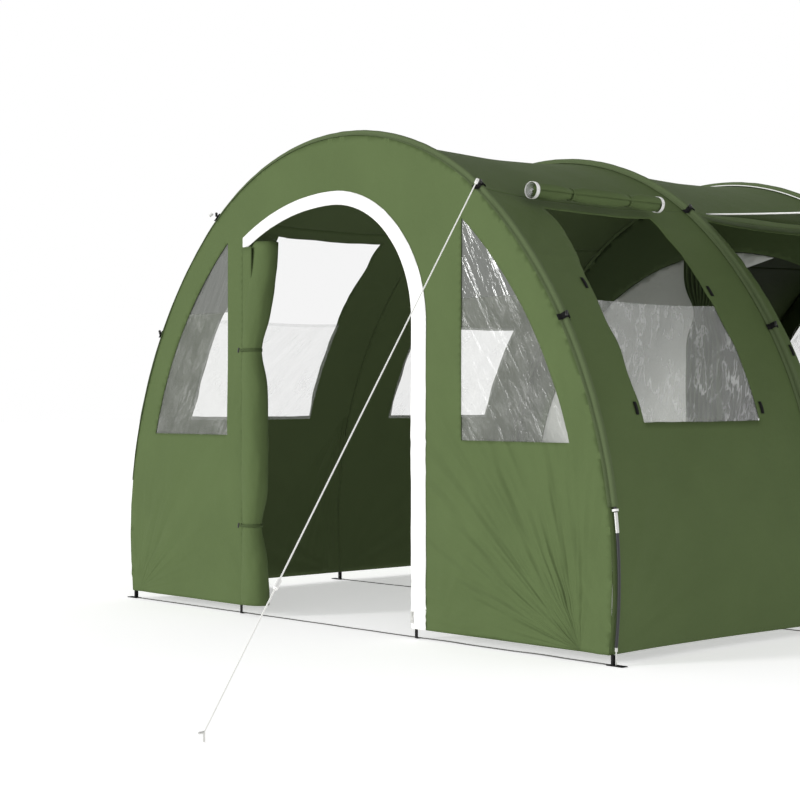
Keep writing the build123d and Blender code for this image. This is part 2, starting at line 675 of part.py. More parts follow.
def make_guy_line():
    top, start, end, way = guy_ends()
    nodes["guy_line"] = tube_between(start, end, GUY_RADIUS)
    left_top = Vector(-top.X, top.Y, top.Z)
    left_way = Vector(-way.X, way.Y, way.Z)
    right_fitting = tube_between(top, start, FITTING_RADIUS)
    left_fitting = tube_between(left_top, left_top + left_way * FITTING_LENGTH, FITTING_RADIUS)
    nodes["guy_line_fittings"] = group([right_fitting, left_fitting])
    middle = start + (end - start) * RUNNER_SHARE
    half = way * (RUNNER_LENGTH / 2)
    sheath = tube_between(middle - half, middle + half, RUNNER_RADIUS)
    nodes["guy_runner"] = sheath - tube_between(middle - half * 2, middle + half * 2, GUY_RADIUS + 0.8)
    shank = Pos(*PEG_PLACE, PEG_HEIGHT / 2) * Cylinder(PEG_RADIUS, PEG_HEIGHT)
    hook_place = Pos(PEG_PLACE[0], PEG_PLACE[1] - HOOK_LENGTH / 2, PEG_HEIGHT - PEG_RADIUS)
    hook = hook_place * Rot(90, 0, 0) * Cylinder(PEG_RADIUS, HOOK_LENGTH)
    nodes["guy_peg"] = shank + hook
    length = (end - start).length
    section = math.pi * GUY_RADIUS ** 2
    print("guy line", round(length), "mm, straight; volume share",
          round(nodes["guy_line"].volume / (section * length), 4))


# ---------------------------------------------------------------- build everything
make_front_wall()
make_front_door()
make_zip_slider()
make_bays()
make_covers()
make_toggles()
make_sleeves()
make_tabs()
make_poles()
make_ground_pieces()
make_hem_tabs()
make_rear_wall()
make_partition()
make_groundsheet()
make_canopy()
make_canopy_poles()
make_guy_line()

# The origin is the middle of the tent's box on the ground, without the guy line's own pieces.
GUY_NODES = ("guy_line", "guy_runner", "guy_peg")
box = group([shape for name, shape in nodes.items() if name not in GUY_NODES]).bounding_box()
CENTRE = Vector((box.min.X + box.max.X) / 2, (box.min.Y + box.max.Y) / 2, 0.0)

os.makedirs("parts", exist_ok=True)
for name, shape in nodes.items():
    export_step(Pos(-CENTRE.X, -CENTRE.Y, 0) * shape, f"parts/{name}.step")
print(len(nodes), "nodes; size", box.size, "lowest z", round(box.min.Z, 3), "centre", CENTRE)
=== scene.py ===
# %% [markdown]
# # A family tunnel tent, dressed for the studio
# The tent is four bent rods in cloth sleeves with coloured cloth stretched between them.
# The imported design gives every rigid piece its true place.  This script adds what a design
# program leaves out: cloth that sags and puckers, rolled-up covers, webbing, film and light.

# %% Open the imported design
import math
import bpy
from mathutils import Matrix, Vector, geometry, noise


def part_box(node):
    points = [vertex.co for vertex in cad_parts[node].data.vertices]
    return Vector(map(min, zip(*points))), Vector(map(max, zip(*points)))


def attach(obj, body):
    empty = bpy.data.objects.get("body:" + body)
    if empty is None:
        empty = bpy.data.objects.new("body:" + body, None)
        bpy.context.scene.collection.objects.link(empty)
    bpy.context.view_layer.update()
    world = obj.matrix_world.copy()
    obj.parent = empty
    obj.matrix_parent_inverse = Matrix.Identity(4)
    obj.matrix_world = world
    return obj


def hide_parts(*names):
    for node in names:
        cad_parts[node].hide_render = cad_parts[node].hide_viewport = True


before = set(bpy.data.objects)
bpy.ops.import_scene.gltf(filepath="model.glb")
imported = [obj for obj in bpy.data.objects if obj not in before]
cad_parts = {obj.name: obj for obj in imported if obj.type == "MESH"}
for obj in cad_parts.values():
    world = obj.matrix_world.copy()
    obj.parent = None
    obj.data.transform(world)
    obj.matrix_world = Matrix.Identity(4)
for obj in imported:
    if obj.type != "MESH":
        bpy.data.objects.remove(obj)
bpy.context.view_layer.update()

# %% [markdown]
# ## Where things are
# The shared frame has its origin in the middle of the tent's footprint.  Working out cloth is
# easier from the tent's own middle plane and front wall, so `place` turns a point measured
# from there (x to the right, y to the rear, z up, in metres) into the shared frame.

# %% The tent's own corner of the frame
wall_low, wall_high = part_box("front_wall")
MIDDLE_X = (wall_low.x + wall_high.x) / 2
FRONT_Y = wall_low.y


def place(x, y, z):
    return Vector((MIDDLE_X + x, FRONT_Y + y, z))


def box_here(node):
    """A node's lowest and highest corner, measured from the tent's own corner."""
    low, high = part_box(node)
    shift = place(0, 0, 0)
    return low - shift, high - shift


ARCH_Y = []
for number in range(1, 5):
    low, high = box_here(f"arch_pole_{number}")
    ARCH_Y.append((low.y + high.y) / 2)
TENT_END = box_here("rear_wall")[1].y
HEM = box_here("front_wall")[0].z
print("arches stand at", [round(y, 3) for y in ARCH_Y], "tent ends at", round(TENT_END, 3))

# %% [markdown]
# ## The arch profile
# A rod pushed into a sleeve bends into an even curve: one arc over the crown and a flatter arc
# down each side.  Cloth that follows it only bends one way, so it can be cut flat.  `run` is
# the distance along the profile from the crown, positive to the right.  It is also the
# cloth's own measure across the tent.

# %% Profile from two arcs
CROWN_RADIUS = 1.304
SIDE_RADIUS = 1.889
CROWN_LEAN = math.radians(42.9)
CROWN_Z = box_here("fly_porch_roof")[1].z - CROWN_RADIUS
SIDE_X = -(SIDE_RADIUS - CROWN_RADIUS) * math.sin(CROWN_LEAN)
SIDE_Z = CROWN_Z - (SIDE_RADIUS - CROWN_RADIUS) * math.cos(CROWN_LEAN)
CROWN_RUN = CROWN_RADIUS * CROWN_LEAN


def at_lean(lean, off=0.0):
    """x and z where the profile, moved out by off, leans by this many radians from level."""
    side = -1 if lean < 0 else 1
    lean = abs(lean)
    if lean <= CROWN_LEAN:
        return (side * (CROWN_RADIUS + off) * math.sin(lean),
                CROWN_Z + (CROWN_RADIUS + off) * math.cos(lean))
    return (side * (SIDE_X + (SIDE_RADIUS + off) * math.sin(lean)),
            SIDE_Z + (SIDE_RADIUS + off) * math.cos(lean))


def lean_of(run):
    side = -1 if run < 0 else 1
    run = abs(run)
    if run <= CROWN_RUN:
        return side * run / CROWN_RADIUS
    return side * (CROWN_LEAN + (run - CROWN_RUN) / SIDE_RADIUS)


def run_of(lean):
    side = -1 if lean < 0 else 1
    lean = abs(lean)
    if lean <= CROWN_LEAN:
        return side * lean * CROWN_RADIUS
    return side * (CROWN_RUN + (lean - CROWN_LEAN) * SIDE_RADIUS)


def lean_at_height(z, off=0.0):
    return math.acos((z - SIDE_Z) / (SIDE_RADIUS + off))


def run_at_height(z):
    return run_of(lean_at_height(z))


HEM_RUN = run_at_height(HEM)
ROOF_RUN = run_of(math.radians(37.5))
print("cloth from hem to hem over the crown:", round(2 * HEM_RUN, 3), "m")

# %% [markdown]
# ## Pull, sag and pucker
# Stretched cloth is never quite smooth.  It sags a little between arches, ripples softly where
# it is slack, and gathers into pleats that fan out from each corner that pulls on it.  Three
# small functions give those shapes.  They use a fixed noise pattern, so each run is the same.

# %% Small folds
SAG = 0.030


def ripple(u, v, length, width, turn, seed):
    """Soft folds: long in the direction turn (radians) and narrow across it, from -1 to 1."""
    along = u * math.cos(turn) + v * math.sin(turn)
    across = v * math.cos(turn) - u * math.sin(turn)
    return noise.noise(Vector((along / length, across / width, seed)))


def fan(u, v, corner, reach, pleats, seed):
    """Pleats that spread from a pulled corner and die out with distance."""
    du, dv = u - corner[0], v - corner[1]
    distance = math.hypot(du, dv)
    turn = math.atan2(dv, du)
    strength = min(distance / 0.10, 1.0) * math.exp(-distance / reach)
    return strength * noise.noise(Vector((turn * pleats, distance * 0.8, seed)))


def ease(low, high, value):
    """0 below low, 1 above high and a smooth climb between."""
    share = min(max((value - low) / (high - low), 0.0), 1.0)
    return share * share * (3 - 2 * share)


def bay_of(y):
    """The arch in front of y, the arch behind it, and how far between them y is."""
    for start, end in zip(ARCH_Y, ARCH_Y[1:]):
        if y <= end:
            return start, end, min(max((y - start) / (end - start), 0.0), 1.0)
    return ARCH_Y[-2], ARCH_Y[-1], 1.0


def fly_lift(y, run):
    """How far the outer cloth stands off the profile; negative is inward."""
    start, end, share = bay_of(y)
    height_share = 1 - 0.62 * ease(0.9, 2.7, abs(run))
    lift = -SAG * 4 * share * (1 - share) * height_share
    slack = min(4 * share * (1 - share) * 2.5, 1.0)
    lift += 0.0035 * slack * ripple(y, run, 0.9, 0.28, 1.4, 3.1)
    side = -1 if run < 0 else 1
    for foot_y in (start, end):
        lift += 0.010 * slack * fan(y, abs(run), (foot_y, HEM_RUN), 0.55, 7.0, 5.0 + side)
        lift += 0.007 * slack * fan(y, abs(run), (foot_y, 1.25), 0.35, 6.0, 9.0 + side)
    return lift


def fly_place(y, run, off=0.0):
    """Flat cloth at (y, run) put up on the arches, off metres outside the cloth."""
    x, z = at_lean(lean_of(run), fly_lift(y, run) + off)
    return place(x, y, z)


def wall_bulge(x, z):
    """How far an end wall's cloth stands out of its plane."""
    edge = min(1.0, max(0.0, (math.hypot(*at_lean(0.0)) - math.hypot(x, z)) * 4))
    pull = 0.0
    for side in (-1, 1):
        pull += 0.012 * fan(x, z, (side * 1.49, 0.05), 0.62, 8.0, 2.0 + side)
        pull += 0.006 * fan(x, z, (side * 0.735, 0.784), 0.30, 6.0, 12.0 + side)
        pull += 0.006 * fan(x, z, (side * 1.42, 0.784), 0.25, 6.0, 17.0 + side)
        pull += 0.007 * fan(x, z, (side * 0.60, 0.04), 0.40, 6.0, 21.0 + side)
    return edge * (pull + 0.004 * ripple(x, z, 0.8, 0.25, 1.2, 7.7))


# %% [markdown]
# ## Shader sums in plain Python
# A finish is mostly sums on patterns.  `Field` wraps one socket, so `1 - mask` or
# `noise * 0.2` adds the Math nodes for it.  `Finish` holds one material.  Its `node` method
# adds any other node from its type, its settings and what goes into its sockets.

# %% Field and Finish
class Field:
    def __init__(self, finish, socket):
        self.finish = finish
        self.socket = socket

    def _sum(self, operation, first, second):
        return self.finish.node("ShaderNodeMath", {"operation": operation}, {0: first, 1: second})

    def __add__(self, other):
        return self._sum("ADD", self, other)

    def __radd__(self, other):
        return self._sum("ADD", other, self)

    def __sub__(self, other):
        return self._sum("SUBTRACT", self, other)

    def __rsub__(self, other):
        return self._sum("SUBTRACT", other, self)

    def __mul__(self, other):
        return self._sum("MULTIPLY", self, other)

    def __rmul__(self, other):
        return self._sum("MULTIPLY", other, self)

    def __pow__(self, other):
        return self._sum("POWER", self, other)

    def wave(self, pitch):
        """A sine wave of this value with the given pitch, from -1 to 1."""
        return (self * (2 * math.pi / pitch))._one("SINE")

    def above(self, limit):
        return self._sum("GREATER_THAN", self, limit)

    def at_least(self, limit):
        return self._sum("MAXIMUM", self, limit)

    def at_most(self, limit):
        return self._sum("MINIMUM", self, limit)

    def _one(self, operation):
        return self.finish.node("ShaderNodeMath", {"operation": operation}, {0: self})


class Finish:
    def __init__(self, name, colour, roughness=0.5, metallic=0.0):
        self.material = bpy.data.materials.new(name)
        self.material.use_nodes = True
        self.nodes = self.material.node_tree.nodes
        self.links = self.material.node_tree.links
        self.surface = self.nodes["Principled BSDF"]
        self.set(**{"Base Color": (*colour, 1), "Roughness": roughness, "Metallic": metallic})

    def set(self, **sockets):
        for name, value in sockets.items():
            if isinstance(value, Field):
                self.links.new(value.socket, self.surface.inputs[name])
            else:
                self.surface.inputs[name].default_value = value
        return self

    def node(self, kind, settings=None, inputs=None, output=0):
        made = self.nodes.new(kind)
        for name, value in (settings or {}).items():
            setattr(made, name, value)
        for name, value in (inputs or {}).items():
            if isinstance(value, Field):
                self.links.new(value.socket, made.inputs[name])
            else:
                made.inputs[name].default_value = value
        return Field(self, made.outputs[output])

    def pattern(self):
        """The cloth's own flat pattern, in metres."""
        return self.node("ShaderNodeTexCoord", output="UV")

    def position(self):
        return self.node("ShaderNodeTexCoord", output="Object")

    def cloudy(self, where, scale, detail=2.0):
        """Soft noise from 0 to 1."""
        return self.node("ShaderNodeTexNoise", {"noise_dimensions": "3D"},
                         {"Vector": where, "Scale": scale, "Detail": detail}, "Fac")

    def split(self, where, axis):
        return self.node("ShaderNodeSeparateXYZ", {}, {"Vector": where}, axis)

    def blend(self, share, first, second):
        """One colour into another."""
        def colour(value):
            return value if isinstance(value, Field) else (*value, 1)
        inputs = {0: share, 6: colour(first), 7: colour(second)}
        return self.node("ShaderNodeMix", {"data_type": "RGBA"}, inputs, 2)

    def bump(self, height, metres, strength=1.0):
        made = self.node("ShaderNodeBump", {}, {"Height": height, "Strength": strength, "Distance": metres})
        return self.set(Normal=made)


# %% [markdown]
# ## Cloth finishes
# Tent cloth is a thin, tight polyester weave with a faint sheen.  Its inside carries a
# waterproof coat that makes it a little smoother, and its darker green is painted shade for
# the inside of the tent.  Film is clear plastic that clouds and crinkles, with painted
# highlights on the crinkles.  Mesh is so open that it mostly lets the view through.

# %% Cloth, film and mesh
def crease_field(made, flat, corner, way, pleats, reach, seed):
    """Pleats that run out from a pulled corner, mostly in the direction way, and fade away."""
    u = made.split(flat, "X") - corner[0]
    v = made.split(flat, "Y") - corner[1]
    distance = (u * u + v * v) ** 0.5
    turn = made.node("ShaderNodeMath", {"operation": "ARCTAN2"}, {0: v, 1: u})
    facing = ((u * math.cos(way) + v * math.sin(way)) * distance ** -1.0 - 0.55).at_least(0.0)
    spread = made.node("ShaderNodeCombineXYZ", {}, {"X": turn * pleats, "Y": distance * 2.2, "Z": seed})
    fade = made.node("ShaderNodeMath", {"operation": "POWER"}, {0: 0.37, 1: distance * (1 / reach)})
    return made.cloudy(spread, 1.0, 1.0) * fade * facing * distance


def woven_finish(name, colour, roughness=0.62, cloud=0.10, puckers=0.5, creases=()):
    """A tight plain weave: even colour, faint cloudiness, small soft puckers and thread bumps."""
    made = Finish(name, colour, roughness)
    flat = made.pattern()
    shade = made.cloudy(flat, 3.0, 3.0)
    dark = tuple(part * (1 - cloud) for part in colour)
    light = tuple(min(part * (1 + cloud), 1.0) for part in colour)
    made.set(**{"Base Color": made.blend(shade, dark, light)})
    threads = made.split(flat, "X").wave(0.0016) * made.split(flat, "Y").wave(0.0016)
    pucker = made.cloudy(flat, 14.0, 2.0) + 0.35 * made.cloudy(flat, 45.0, 2.0)
    height = pucker * puckers + 0.012 * threads
    for corner, way, pleats, reach, depth in creases:
        height = height + depth * crease_field(made, flat, corner, way, pleats, reach, 4.0 + pleats)
    made.bump(height, 0.006)
    made.set(**{"Specular IOR Level": 0.04})
    return made.material


GREEN = (0.090, 0.127, 0.050)
# A darker copy of the cloth green for the inside faces: painted shade, since the inside gets less light.
SHADED_INSIDE_GREEN = (0.064, 0.088, 0.036)
FRONT_PULLS = (((1.34, 0.04), 2.35, 10.0, 0.45, 110.0), ((-1.42, 0.05), 0.9, 8.0, 0.25, 45.0))
SIDE_PULLS = (((1.27, -run_at_height(0.86)), -1.2, 8.0, 0.5, 120.0),)
fly_cloth = woven_finish("fly_cloth", GREEN)
front_cloth = woven_finish("front_cloth", GREEN, creases=FRONT_PULLS)
# The inside finishes carry that darker green as painted shade; the coat only makes them a little smoother.
shaded_coated_inside = woven_finish("shaded_coated_inside", SHADED_INSIDE_GREEN, 0.5, 0.06, 0.3)
pleated_shaded_inside = woven_finish("pleated_shaded_inside", SHADED_INSIDE_GREEN, 0.5, 0.06, 0.3, creases=SIDE_PULLS)
sleeve_cloth = woven_finish("sleeve_cloth", (0.098, 0.130, 0.062), 0.68, 0.06, 0.6)
partition_cloth = woven_finish("partition_cloth", (0.52, 0.53, 0.50), 0.7, 0.05)
header_cloth = woven_finish("header_cloth", (0.060, 0.085, 0.034), 0.6, 0.06, 0.4)
white_band = woven_finish("white_band", (0.86, 0.86, 0.84), 0.55, 0.02, 0.2)
white_lining = woven_finish("white_lining", (0.72, 0.73, 0.72), 0.6, 0.03, 0.3)
groundsheet_finish = woven_finish("groundsheet", (0.09, 0.095, 0.09), 0.45, 0.12, 0.4)


def film_finish(name, turn, painted_glint, base=0.12):
    """Clear plastic film: thin clouding, crinkles in the direction turn, and painted highlights along them.
    """
    made = Finish(name, (0.80, 0.81, 0.80), 0.14)
    flat = made.pattern()
    x, y = made.split(flat, "X"), made.split(flat, "Y")
    along = x * math.cos(turn) + y * math.sin(turn)
    across = y * math.cos(turn) - x * math.sin(turn)
    slanted = made.node("ShaderNodeCombineXYZ", {}, {"X": along * 5.0, "Y": across * 24.0})
    crinkle = made.cloudy(slanted, 1.3, 4.0)
    patches = made.cloudy(flat, 7.0, 2.0)
    # Thin strokes along the crinkles, where painted highlights are put.
    glint_stroke = (1 - (crinkle - 0.52)._one("ABSOLUTE") * 26.0).at_least(0.0)
    glint_stroke = glint_stroke * ((patches - 0.40) * 4.0).at_least(0.0)
    grain = made.cloudy(flat, 320.0, 2.0)
    # The alpha of the pale film: its clouding, plus painted highlights on the strokes.
    haze_and_glint = base + 0.12 * crinkle + 0.08 * patches + 0.10 * grain + painted_glint * glint_stroke.at_most(1.0)
    return made, haze_and_glint, crinkle, y


def side_film(name, painted_glint):
    made, haze_and_glint, crinkle, _ = film_finish(name, -0.95, painted_glint)
    made.set(Alpha=haze_and_glint)
    made.bump(crinkle, 0.006)
    return made.material


BACKING_HEIGHT = 1.328


def front_film():
    """Film below chest height; above it a close grey mesh backs the film and dims the view."""
    made, haze_and_glint, crinkle, height = film_finish("front_window_film", -1.05, 0.14, 0.05)
    backed = height.above(BACKING_HEIGHT)
    grain = made.cloudy(made.pattern(), 260.0, 2.0)
    made.set(Alpha=haze_and_glint * (1 - backed) + backed * (0.72 + 0.2 * grain))
    made.set(**{"Base Color": made.blend(backed, (0.62, 0.63, 0.60), (0.145, 0.15, 0.14))})
    made.bump(crinkle, 0.008)
    return made.material


def mesh_finish():
    """Fine insect mesh: thin dark threads that mostly let the view through."""
    made = Finish("mosquito_mesh", (0.03, 0.035, 0.03), 0.9)
    made.set(**{"Specular IOR Level": 0.0})
    made.set(Alpha=0.04 + 0.10 * made.cloudy(made.pattern(), 240.0, 2.0))
    return made.material


# The first film gets strong painted highlights on its crinkles, the second only faint ones.
window_film = side_film("window_film", 0.34)
faint_glint_film = side_film("faint_glint_window_film", 0.05)
front_window_film = front_film()
mosquito_mesh = mesh_finish()
print("cloth finishes:", len(bpy.data.materials))

# %% [markdown]
# ## Hard and webbing finishes
# Webbing is ribbed across its width.  The rods are wound glass fibre with a dull gloss, the
# tips and rings plated steel, and the small end pieces moulded plastic.

# %% Webbing, rods, steel and plastic
def webbing_finish(name, colour):
    made = Finish(name, colour, 0.72)
    flat = made.pattern()
    ribs = made.split(flat, "Y").wave(0.0024)
    made.bump(ribs, 0.0004)
    made.set(**{"Specular IOR Level": 0.1})
    return made.material


def plain_finish(name, colour, roughness, metallic=0.0, grain=60.0, depth=0.0001):
    """A hard finish with a faint unevenness in its gloss."""
    made = Finish(name, colour, roughness, metallic)
    spots = made.cloudy(made.position(), grain, 3.0)
    made.set(Roughness=roughness * 0.8 + 0.4 * roughness * spots)
    made.bump(spots, depth)
    return made.material


black_webbing = webbing_finish("black_webbing", (0.012, 0.012, 0.012))
grey_webbing = webbing_finish("grey_webbing", (0.30, 0.30, 0.29))
white_webbing = webbing_finish("white_webbing", (0.80, 0.80, 0.78))
fibreglass = plain_finish("fibreglass", (0.018, 0.019, 0.020), 0.34)
plated_steel = plain_finish("plated_steel", (0.62, 0.62, 0.60), 0.28, 1.0)
pole_steel = plain_finish("pole_steel", (0.50, 0.51, 0.50), 0.36, 0.9)
white_plastic = plain_finish("white_plastic", (0.82, 0.82, 0.80), 0.35)
guy_cord_finish = plain_finish("guy_cord", (0.90, 0.90, 0.87), 0.65, 0.0, 900.0, 0.0003)
HARD = {
    "arch_pole_1": fibreglass, "arch_pole_2": fibreglass, "arch_pole_3": fibreglass,
    "arch_pole_4": fibreglass, "sleeve_end_caps": white_plastic, "pole_ferrules": plated_steel,
    "pole_foot_pins": plated_steel, "front_zip_slider": plated_steel,
    "canopy_pole_front_upper": pole_steel, "canopy_pole_front_lower": pole_steel,
    "canopy_pole_rear_upper": pole_steel, "canopy_pole_rear_lower": pole_steel,
    "guy_peg": plated_steel, "guy_runner": white_plastic, "guy_line_fittings": white_plastic,
    "foot_eyelet_tabs": black_webbing, "hem_tabs": black_webbing, "canopy_pole_loops": black_webbing,
}
for node, finish in HARD.items():
    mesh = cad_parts[node].data
    mesh.materials.clear()
    mesh.materials.append(finish)
print("design pieces kept and finished:", len(HARD))

# %% [markdown]
# ## Cutting cloth from a pattern
# A tent maker cuts each panel flat and then sews it.  `cut_cloth` does the same.  It takes the
# panel's outline and the holes in it as flat points, fills it with an even triangle grid and
# then puts every point up with a placing function.  The flat pattern stays on the mesh as its
# UV map, so the weave runs true.  A triangle grid was chosen because it can fold any way.

# %% Cut a panel
def inside(point, outline):
    """True if a flat point lies inside a closed outline."""
    x, y = point
    crossings = 0
    for (x1, y1), (x2, y2) in zip(outline, outline[1:] + outline[:1]):
        if (y1 > y) != (y2 > y) and x < (x2 - x1) * (y - y1) / (y2 - y1) + x1:
            crossings += 1
    return crossings % 2 == 1


def refine(outline, spacing):
    """The same outline with points no further apart than spacing."""
    points = []
    for start, end in zip(outline, outline[1:] + outline[:1]):
        length = math.dist(start, end)
        steps = max(1, math.ceil(length / spacing))
        for step in range(steps):
            share = step / steps
            points.append((start[0] + (end[0] - start[0]) * share, start[1] + (end[1] - start[1]) * share))
    return points


def cut_flat(outline, holes, spacing):
    """Points and triangles that fill an outline but not its holes."""
    loops = [refine(outline, spacing)] + [refine(hole, spacing) for hole in holes]
    points, edges = [], []
    for loop in loops:
        first = len(points)
        points += loop
        edges += [(first + k, first + (k + 1) % len(loop)) for k in range(len(loop))]
    xs = [p[0] for p in loops[0]]
    ys = [p[1] for p in loops[0]]
    row_height = spacing * math.sqrt(0.75)
    buckets = set()
    for x, y in points:
        buckets.add((round(x / spacing), round(y / spacing)))
    for row in range(1, math.ceil((max(ys) - min(ys)) / row_height)):
        y = min(ys) + row * row_height
        for column in range(math.ceil((max(xs) - min(xs)) / spacing)):
            x = min(xs) + (column + 0.5 * (row % 2) + 0.25) * spacing
            near_edge = (round(x / spacing), round(y / spacing)) in buckets
            if not near_edge and inside((x, y), loops[0]) and not any(inside((x, y), h) for h in loops[1:]):
                points.append((x, y))
    made = geometry.delaunay_2d_cdt([Vector(p) for p in points], edges, [], 0, 1e-6)
    corners, triangles = made[0], made[2]
    kept = []
    for triangle in triangles:
        centre = [sum(corners[k][axis] for k in triangle) / 3 for axis in (0, 1)]
        if inside(centre, loops[0]) and not any(inside(centre, hole) for hole in loops[1:]):
            kept.append(triangle)
    return [tuple(corner) for corner in corners], kept


def flat_area(points, triangles):
    total = 0.0
    for a, b, c in triangles:
        (ax, ay), (bx, by), (cx, cy) = points[a], points[b], points[c]
        total += abs((bx - ax) * (cy - ay) - (cx - ax) * (by - ay)) / 2
    return total


# %% [markdown]
# ## Making and lining a piece
# Every soft piece goes through `finish_piece`.  It keeps the flat pattern, gives the cloth its
# thickness with a second finish on the inside, fixes it to the body that carries it, and hides
# the design pieces it stands for.

# %% From points to a finished piece
def new_mesh(name, points, faces, flat_points):
    mesh = bpy.data.meshes.new(name)
    mesh.from_pydata(points, [], faces)
    layer = mesh.uv_layers.new(name="pattern")
    for loop in mesh.loops:
        layer.data[loop.index].uv = flat_points[loop.vertex_index]
    mesh.polygons.foreach_set("use_smooth", [True] * len(mesh.polygons))
    mesh.update()
    made = bpy.data.objects.new(name, mesh)
    bpy.context.scene.collection.objects.link(made)
    return made


def finish_piece(made, nodes, finishes, thickness, inward=True, body="tent"):
    """Thickness with a second finish on the inside, a body to ride on and the nodes it replaces."""
    for finish in finishes:
        made.data.materials.append(finish)
    if thickness:
        shell = made.modifiers.new("cloth thickness", "SOLIDIFY")
        shell.thickness = thickness
        shell.offset = -1.0 if inward else 1.0
        shell.material_offset = len(finishes) - 1
        shell.material_offset_rim = 0
    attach(made, body)
    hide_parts(*nodes)
    return made


def cut_cloth(name, outline, holes, put_up, spacing, nodes, finishes, thickness=0.0015,
              inward=True, body="tent", flat=None):
    """One panel from its pattern to the finished piece."""
    points, triangles = cut_flat(outline, holes, spacing)
    made = new_mesh(name, [put_up(*point) for point in points], triangles, points)
    face_out(made)
    finish_piece(made, nodes, finishes, thickness, inward, body)
    area = flat_area(points, triangles)
    width = max(p[0] for p in points) - min(p[0] for p in points)
    length = max(p[1] for p in points) - min(p[1] for p in points)
    if not flat and area < 0.31 * width * length:
        flat = (area / max(width, length), max(width, length))
    None if flat else min(area, width * length)
    print(name, "cut", round(width, 2), "x", round(length, 2), "m,", round(area, 2), "m2")
    return made


TENT_HEART = place(0, (ARCH_Y[0] + ARCH_Y[-1]) / 2, 0.8)


def face_out(made):
    """Turns all faces so that the cloth's outside looks away from the tent's heart."""
    mesh = made.data
    outward = 0.0
    for face in mesh.polygons:
        centre = sum((mesh.vertices[k].co for k in face.vertices), Vector()) / len(face.vertices)
        outward += face.area * face.normal.dot(centre - TENT_HEART)
    if outward < 0:
        mesh.flip_normals()


# %% [markdown]
# ## Outlines with curves
# Curved edges are worked out from the arcs that a pattern cutter would draw: along the arch
# profile, or round a centre.

# %% Arc helpers
def arc(centre, radius, start, end, steps=24):
    """Points round a centre, with angles in degrees from the +x direction."""
    points = []
    for step in range(steps + 1):
        turn = math.radians(start + (end - start) * step / steps)
        points.append((centre[0] + radius * math.cos(turn), centre[1] + radius * math.sin(turn)))
    return points


def along_arch(start, end, off=0.0, steps=48):
    """Points on the profile, moved out by off, from one lean to another in radians."""
    return [at_lean(start + (end - start) * step / steps, off) for step in range(steps + 1)]


def mirrored(points):
    return [(-x, z) for x, z in reversed(points)]


# %% [markdown]
# ## End walls
# The front wall fills the first arch.  It has a D-shaped doorway left of the middle and a
# quarter-arch window on each side.  The doorway's edge is a straight jamb on the left, a low
# arc up to the highest point, a round shoulder and a straight jamb on the right.

# %% Front wall
DOOR_LEFT = -0.624
DOOR_RIGHT = 0.455
DOOR_PEAK_X = -0.030
DOOR_TOP = 1.747
DOOR_LEFT_TOP = 1.588
BAND_WIDTH = 0.085
BAND_TOP = 0.057
WINDOW_INNER = 0.735
WINDOW_SILL = 0.784
WINDOW_INSET = 0.130
FILM_LAP = 0.014
CLOTH_STEP = 0.020


def door_edge(right, top, left_top, base):
    """The doorway's outline from the foot of the left jamb round to the foot of the right one."""
    reach = DOOR_PEAK_X - DOOR_LEFT
    drop = top - left_top
    radius = (reach * reach + drop * drop) / (2 * drop)
    half = math.degrees(math.asin(reach / radius))
    shoulder = right - DOOR_PEAK_X
    low_arc = arc((DOOR_PEAK_X, top - radius), radius, 90 + half, 90, 14)
    round_arc = arc((DOOR_PEAK_X, top - shoulder), shoulder, 90, 0, 22)
    return [(DOOR_LEFT, base)] + low_arc + round_arc[1:] + [(right, base)]


def front_window(grow=0.0):
    """Quarter-arch window on the right: upright inner edge, level sill, curved outer edge."""
    inset = grow - WINDOW_INSET
    inner, sill = WINDOW_INNER - grow, WINDOW_SILL - grow
    top_lean = math.asin(inner / (CROWN_RADIUS + inset))
    curve = along_arch(top_lean, lean_at_height(sill, inset), inset, 20)
    return curve + [(inner, sill)]


foot_lean = lean_at_height(HEM)
front_outline = along_arch(-foot_lean, foot_lean)
door_opening = door_edge(DOOR_RIGHT, DOOR_TOP, DOOR_LEFT_TOP, HEM - 0.2)


def front_place(x, z):
    return place(x, 0.001 - wall_bulge(x, z), z)


cut_cloth("front_wall_cloth", front_outline, [door_opening, front_window(), mirrored(front_window())],
          front_place, CLOTH_STEP, ["front_wall"], [front_cloth, shaded_coated_inside])

# %% [markdown]
# The white band round the doorway covers the zip.  It lies on the outside of the wall, so the
# same placing function is used with a little more stand-off.

# %% White door band
band_outline = door_edge(DOOR_RIGHT + BAND_WIDTH, DOOR_TOP + BAND_TOP,
                         DOOR_LEFT_TOP + BAND_TOP + 0.005, HEM)
band_hole = door_edge(DOOR_RIGHT, DOOR_TOP, DOOR_LEFT_TOP, HEM - 0.2)


def band_place(x, z):
    point = front_place(x, z)
    point.y -= 0.0025 + 0.0008 * ripple(x, z, 0.05, 0.3, 0.0, 4.0)
    return point


band_length = (DOOR_TOP - HEM) + math.pi / 2 * (DOOR_RIGHT - DOOR_PEAK_X) + (DOOR_PEAK_X - DOOR_LEFT) - 0.35
cut_cloth("front_door_band_cloth", band_outline, [band_hole], band_place, 0.014, ["front_door_band"],
          [white_band], 0.001, flat=(0.078, band_length))


# %% [markdown]
# Film is sewn behind the wall and laps the cut edge by a finger's width.  It is stiffer than
# cloth, so its folds are sharper.

# %% Front window film
def film_place(x, z):
    point = front_place(x, z)
    point.y += 0.004 + 0.003 * ripple(abs(x), z, 0.45, 0.05, -1.05, 15.0)
    return point


for side, side_name in ((-1, "left"), (1, "right")):
    cut_cloth(f"front_window_film_{side_name}_sheet", front_window(FILM_LAP), [],
              lambda x, z: film_place(side * x, z), 0.020,
              [f"front_window_film_{side_name}"], [front_window_film], 0.0)

# %% [markdown]
# ## The outer cloth
# Each bay has a roof panel and two side panels, cut in the measures (y, run).  Window and door
# holes are cut as plain rectangles in the flat, because their sills are level.

